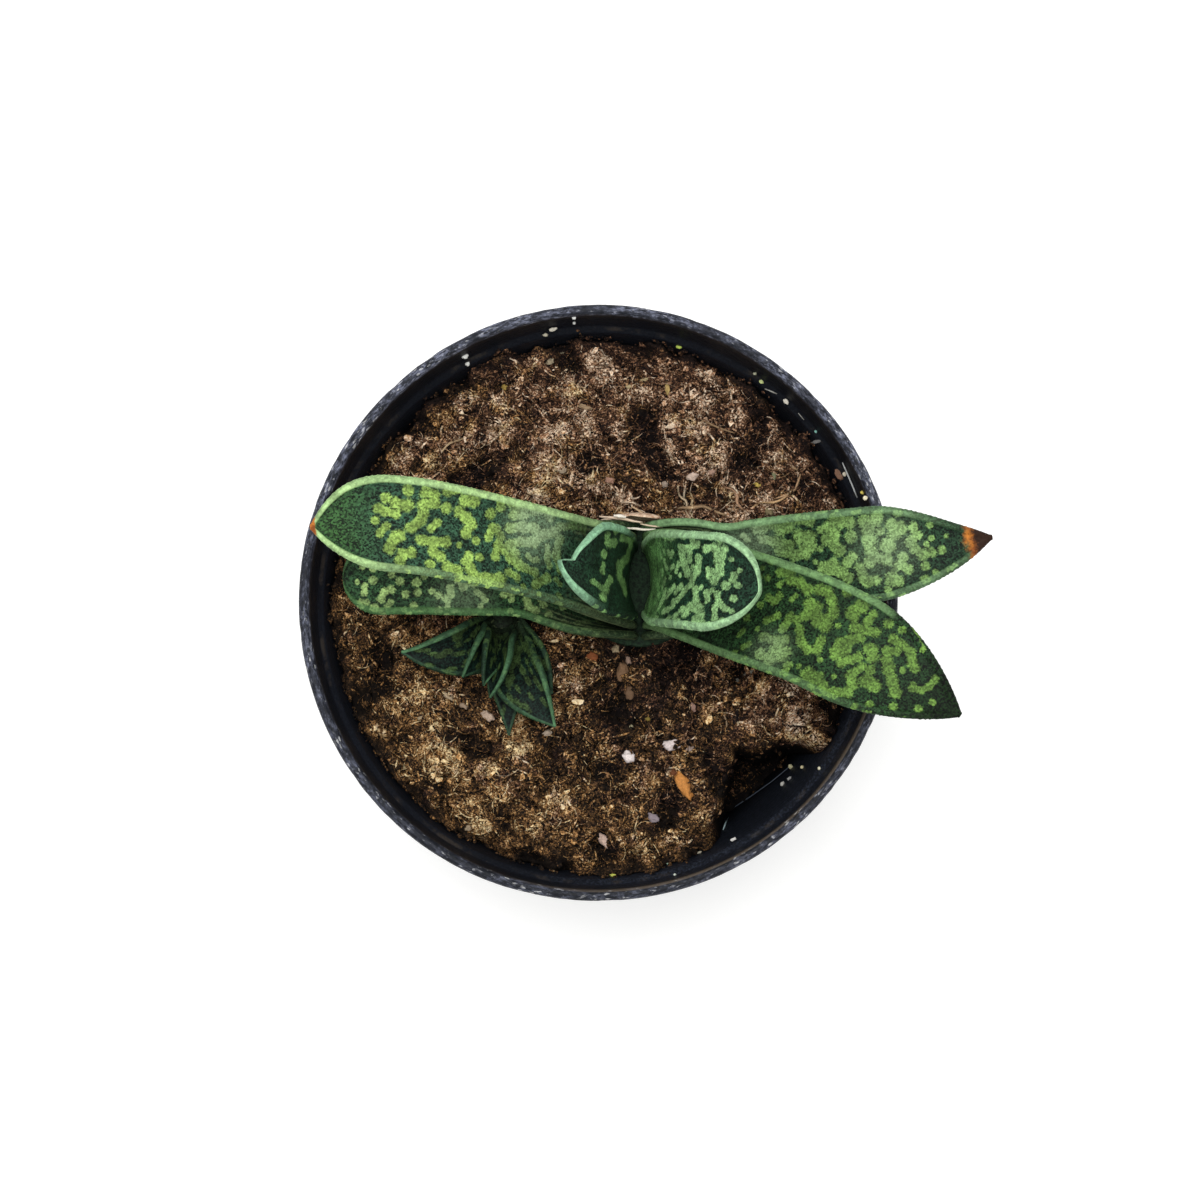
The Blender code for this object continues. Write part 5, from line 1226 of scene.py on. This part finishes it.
smallForm = dict(leafForm, stations=100, across=14, band=4, wall=2, crowding=1.4, marginWidth=0.5,
                 bead=0.08, tooth=0.07, toothPitch=0.7)
lit, dim = ((0, 0.8), (7, 0.55), (14, 0.1)), ((0, 0.2), (20, 0.05))     # a margin with painted light and one with painted shade
offsetLeaves = {
    "left": {
        "spine": [(-17.9, -4.6, 80.6), (-21.0, -7.0, 83.8), (-25.3, -8.6, 86.4), (-30.6, -9.2, 88.0),
                  (-34.7, -8.9, 88.5)],
        "azimuths": (205.0, 188.0), "widths": (3.6, 4.6), "clasp": (0.7, 0.5),
        "tip": (13.0, 1.5, 1.0), "thickness": (1.8, 2.2), "roll": -20.0,
    },
    "inner_1": {
        "spine": [(-18.0, -4.2, 81.0), (-19.8, -7.4, 86.6), (-21.8, -10.7, 90.0), (-23.7, -13.4, 91.5)],
        "azimuths": (236.0, 236.0), "widths": (2.2, 3.2), "clasp": (0.6, 0.5),
        "tip": (8.0, 1.7, 1.0), "thickness": (1.5, 1.6), "roll": -52.0,
    },
    "inner_2": {
        "spine": [(-17.8, -4.2, 81.2), (-18.6, -7.8, 88.0), (-19.3, -11.3, 92.0), (-19.9, -14.9, 94.0)],
        "azimuths": (254.0, 254.0), "widths": (2.0, 3.0), "clasp": (0.6, 0.5),
        "tip": (8.0, 1.7, 1.0), "thickness": (1.4, 1.5), "roll": -58.0,
    },
    "inner_3": {
        "spine": [(-17.2, -4.2, 81.0), (-17.0, -8.5, 87.4), (-17.6, -12.8, 91.0), (-19.0, -17.0, 92.3)],
        "azimuths": (276.0, 256.0), "widths": (2.0, 3.4), "clasp": (0.6, 0.5),
        "tip": (8.0, 1.7, 1.0), "thickness": (1.4, 1.6), "roll": 52.0,
    },
    "right": {
        "spine": [(-16.8, -4.2, 80.8), (-15.3, -10.2, 84.5), (-13.1, -14.6, 86.8), (-10.3, -18.6, 87.9),
                  (-7.6, -22.0, 88.0)],
        "azimuths": (288.0, 304.0), "widths": (3.2, 4.5), "clasp": (0.7, 0.5),
        "tip": (11.0, 1.6, 1.0), "thickness": (1.8, 2.2), "roll": 14.0,
    },
    "back": {
        "spine": [(-16.0, -3.4, 80.2), (-13.0, -7.4, 82.4), (-10.4, -11.4, 83.8), (-8.2, -16.0, 84.2)],
        "azimuths": (316.0, 298.0), "widths": (2.4, 2.6), "clasp": (0.7, 0.5),
        "tip": (9.0, 1.6, 1.0), "thickness": (1.5, 1.7), "roll": 8.0,
    },
    "low": {
        "spine": [(-17.2, -4.4, 80.2), (-16.6, -11.6, 81.8), (-16.1, -18.0, 82.6), (-15.9, -23.4, 82.4)],
        "azimuths": (270.0, 270.0), "widths": (2.8, 3.0), "clasp": (0.6, 0.3),
        "tip": (11.0, 1.3, 1.0), "thickness": (1.2, 1.2), "roll": 0.0,
    },
}
offsetRims = {"left": (dim, lit), "right": (lit, ((0, 0.4), (20, 0.2))), "low": (dim, dim),
              "back": (dim, dim), "inner_1": (dim, lit), "inner_2": (lit, dim), "inner_3": (lit, dim)}
offsetLook = {"dark": (12, 26, 20), "pale": (52, 70, 38), "margin": (84, 124, 86), "plainTip": 4.0,
              "blotch": 0.5, "stretch": 2.6, "wake": (0.0, 6.0), "marginWidth": 0.38,
              "rootTone": (32, 42, 26)}
# its stem's place, and the radius and height of each ring of it
offsetStem = {"place": (-17.4, -3.4), "rings": [(2.4, 71.0), (3.0, 78.6), (3.0, 80.2), (1.9, 81.3)],
              "steps": 32}


def makeOffset():
    allPoints, allFaces, allFields, total = [], [], {}, 0
    for number, (name, spec) in enumerate(offsetLeaves.items()):
        spec = dict(offsetLook, **spec, seed=60 + number, rims=offsetRims[name])
        points, fields, count, length = leafBody(spec, smallForm)
        paintLeaf(spec, fields, length)
        allFaces += leafFaces(points, count, total)
        allPoints.append(points.reshape(-1, 3))
        for field, values in fields.items():
            allFields.setdefault(field, []).append(values.ravel())
        total += points.shape[0] * points.shape[1]
    (x, y), rings, steps = offsetStem["place"], offsetStem["rings"], offsetStem["steps"]
    turns = [2 * math.pi * i / steps for i in range(steps)]
    stem = [(x + r * math.cos(t), y + r * math.sin(t), h) for r, h in rings for t in turns]
    allFaces += [tuple(reversed([total + i for i in face])) for face in tubeFaces(len(rings), steps)]
    allFaces.append(tuple(total + i for i in reversed(range(steps))))
    allFaces.append(tuple(total + (len(rings) - 1) * steps + i for i in range(steps)))
    allPoints.append(np.array(stem))
    bare = {"blotch": -1.0, "inset": 3.0, "toTip": 20.0}
    for field in allFields:
        allFields[field].append(np.full(len(stem), bare.get(field, 0.0)))
    fields = {name: np.concatenate(parts) for name, parts in allFields.items()}
    piece = makePiece("offsetShoot", np.concatenate(allPoints), allFaces,
                      leafFinish("offsetSkin", offsetLook), fields)
    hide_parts("offset")


makeOffset()
print("offset ready")

sheath = {
    "spine": [(6.6, 15.3, 79.5), (6.6, 15.3, 81.2), (6.2, 15.7, 84.0), (5.8, 15.5, 86.6)],
    "azimuths": (90.0, 92.0), "widths": (4.5, 4.8), "clasp": (0.2, 0.3),
    "tip": (2.6, 2.2, 1.0), "thickness": (0.9, 0.8), "roll": 0.0, "seed": 90,
}
sheathForm = dict(smallForm, stations=60, band=3, tooth=0.2, toothPitch=1.6)
# the crown's colours are near-black green: painted shade between the leaf bases over its own green
tissue = {"paperLow": tint(164, 122, 92), "paperHigh": tint(242, 220, 194),
          "crownShadeLow": tint(4, 9, 6), "crownShadeHigh": tint(40, 62, 42)}


def tissueFinish(name, low, high, depth):
    finish = Finish(name)
    grain = finish.noise(0.7, 4.0, 0.7)
    return finish.put(Base_Color=grain.step(0.25, 0.75).mix(low, high), Specular_IOR_Level=0.2,
                      Roughness=(0.65 + grain * 0.25).clamp(), Normal=finish.relief(grain, depth))


slivers = [  # half width, colour and the spots that a papery strip runs through
    (0.26, (226, 202, 176), (0.1, 15.4, 85.8), (2.3, 15.1, 87.0), (4.2, 14.9, 87.3), (6.1, 14.5, 87.0),
     (7.9, 14.3, 86.0)),
    (0.36, (250, 240, 224), (2.7, 15.4, 87.4), (3.7, 15.3, 87.7), (4.9, 15.1, 87.4)),
    (0.22, (240, 232, 212), (4.5, 13.3, 86.2), (6.4, 13.2, 86.4), (8.3, 13.0, 86.4), (10.2, 13.1, 86.2)),
    (0.17, (220, 198, 170), (7.4, 14.1, 86.0), (9.3, 13.7, 86.2), (11.4, 13.5, 86.6)),
]


def makeSlivers():
    heap = newHeap()
    for width, colour, *spots in slivers:
        addThread(heap, spineCurve(spots, 14, 1.0)[0].tolist(), width, tint(*colour))
    finish = Finish("sliverFinish")
    grain = finish.noise(0.5, 3.0, 0.7)
    finish.put(Base_Color=(0.5 + grain).shade(finish.colourField("stain")), Specular_IOR_Level=0.2,
               Roughness=(0.6 + grain * 0.3).clamp(), Normal=finish.relief(grain, 0.1))
    makePiece("paperSlivers", heap["points"], heap["faces"], finish.material,
              {"stain": heap["values"]})


def makeSheath():
    points, _, count, _ = leafBody(sheath, sheathForm)
    paper = tissueFinish("papery", tissue["paperLow"], tissue["paperHigh"], 0.15)
    piece = makePiece("paperySheath", points.reshape(-1, 3), leafFaces(points, count), paper)
    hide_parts("dry_sheath")


makeSheath()
makeSlivers()
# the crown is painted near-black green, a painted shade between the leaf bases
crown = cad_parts["stem"]
crown.data.materials.clear()
crown.data.materials.append(tissueFinish("crownShadeTissue", tissue["crownShadeLow"], tissue["crownShadeHigh"], 0.2))
print("sheath and crown ready")
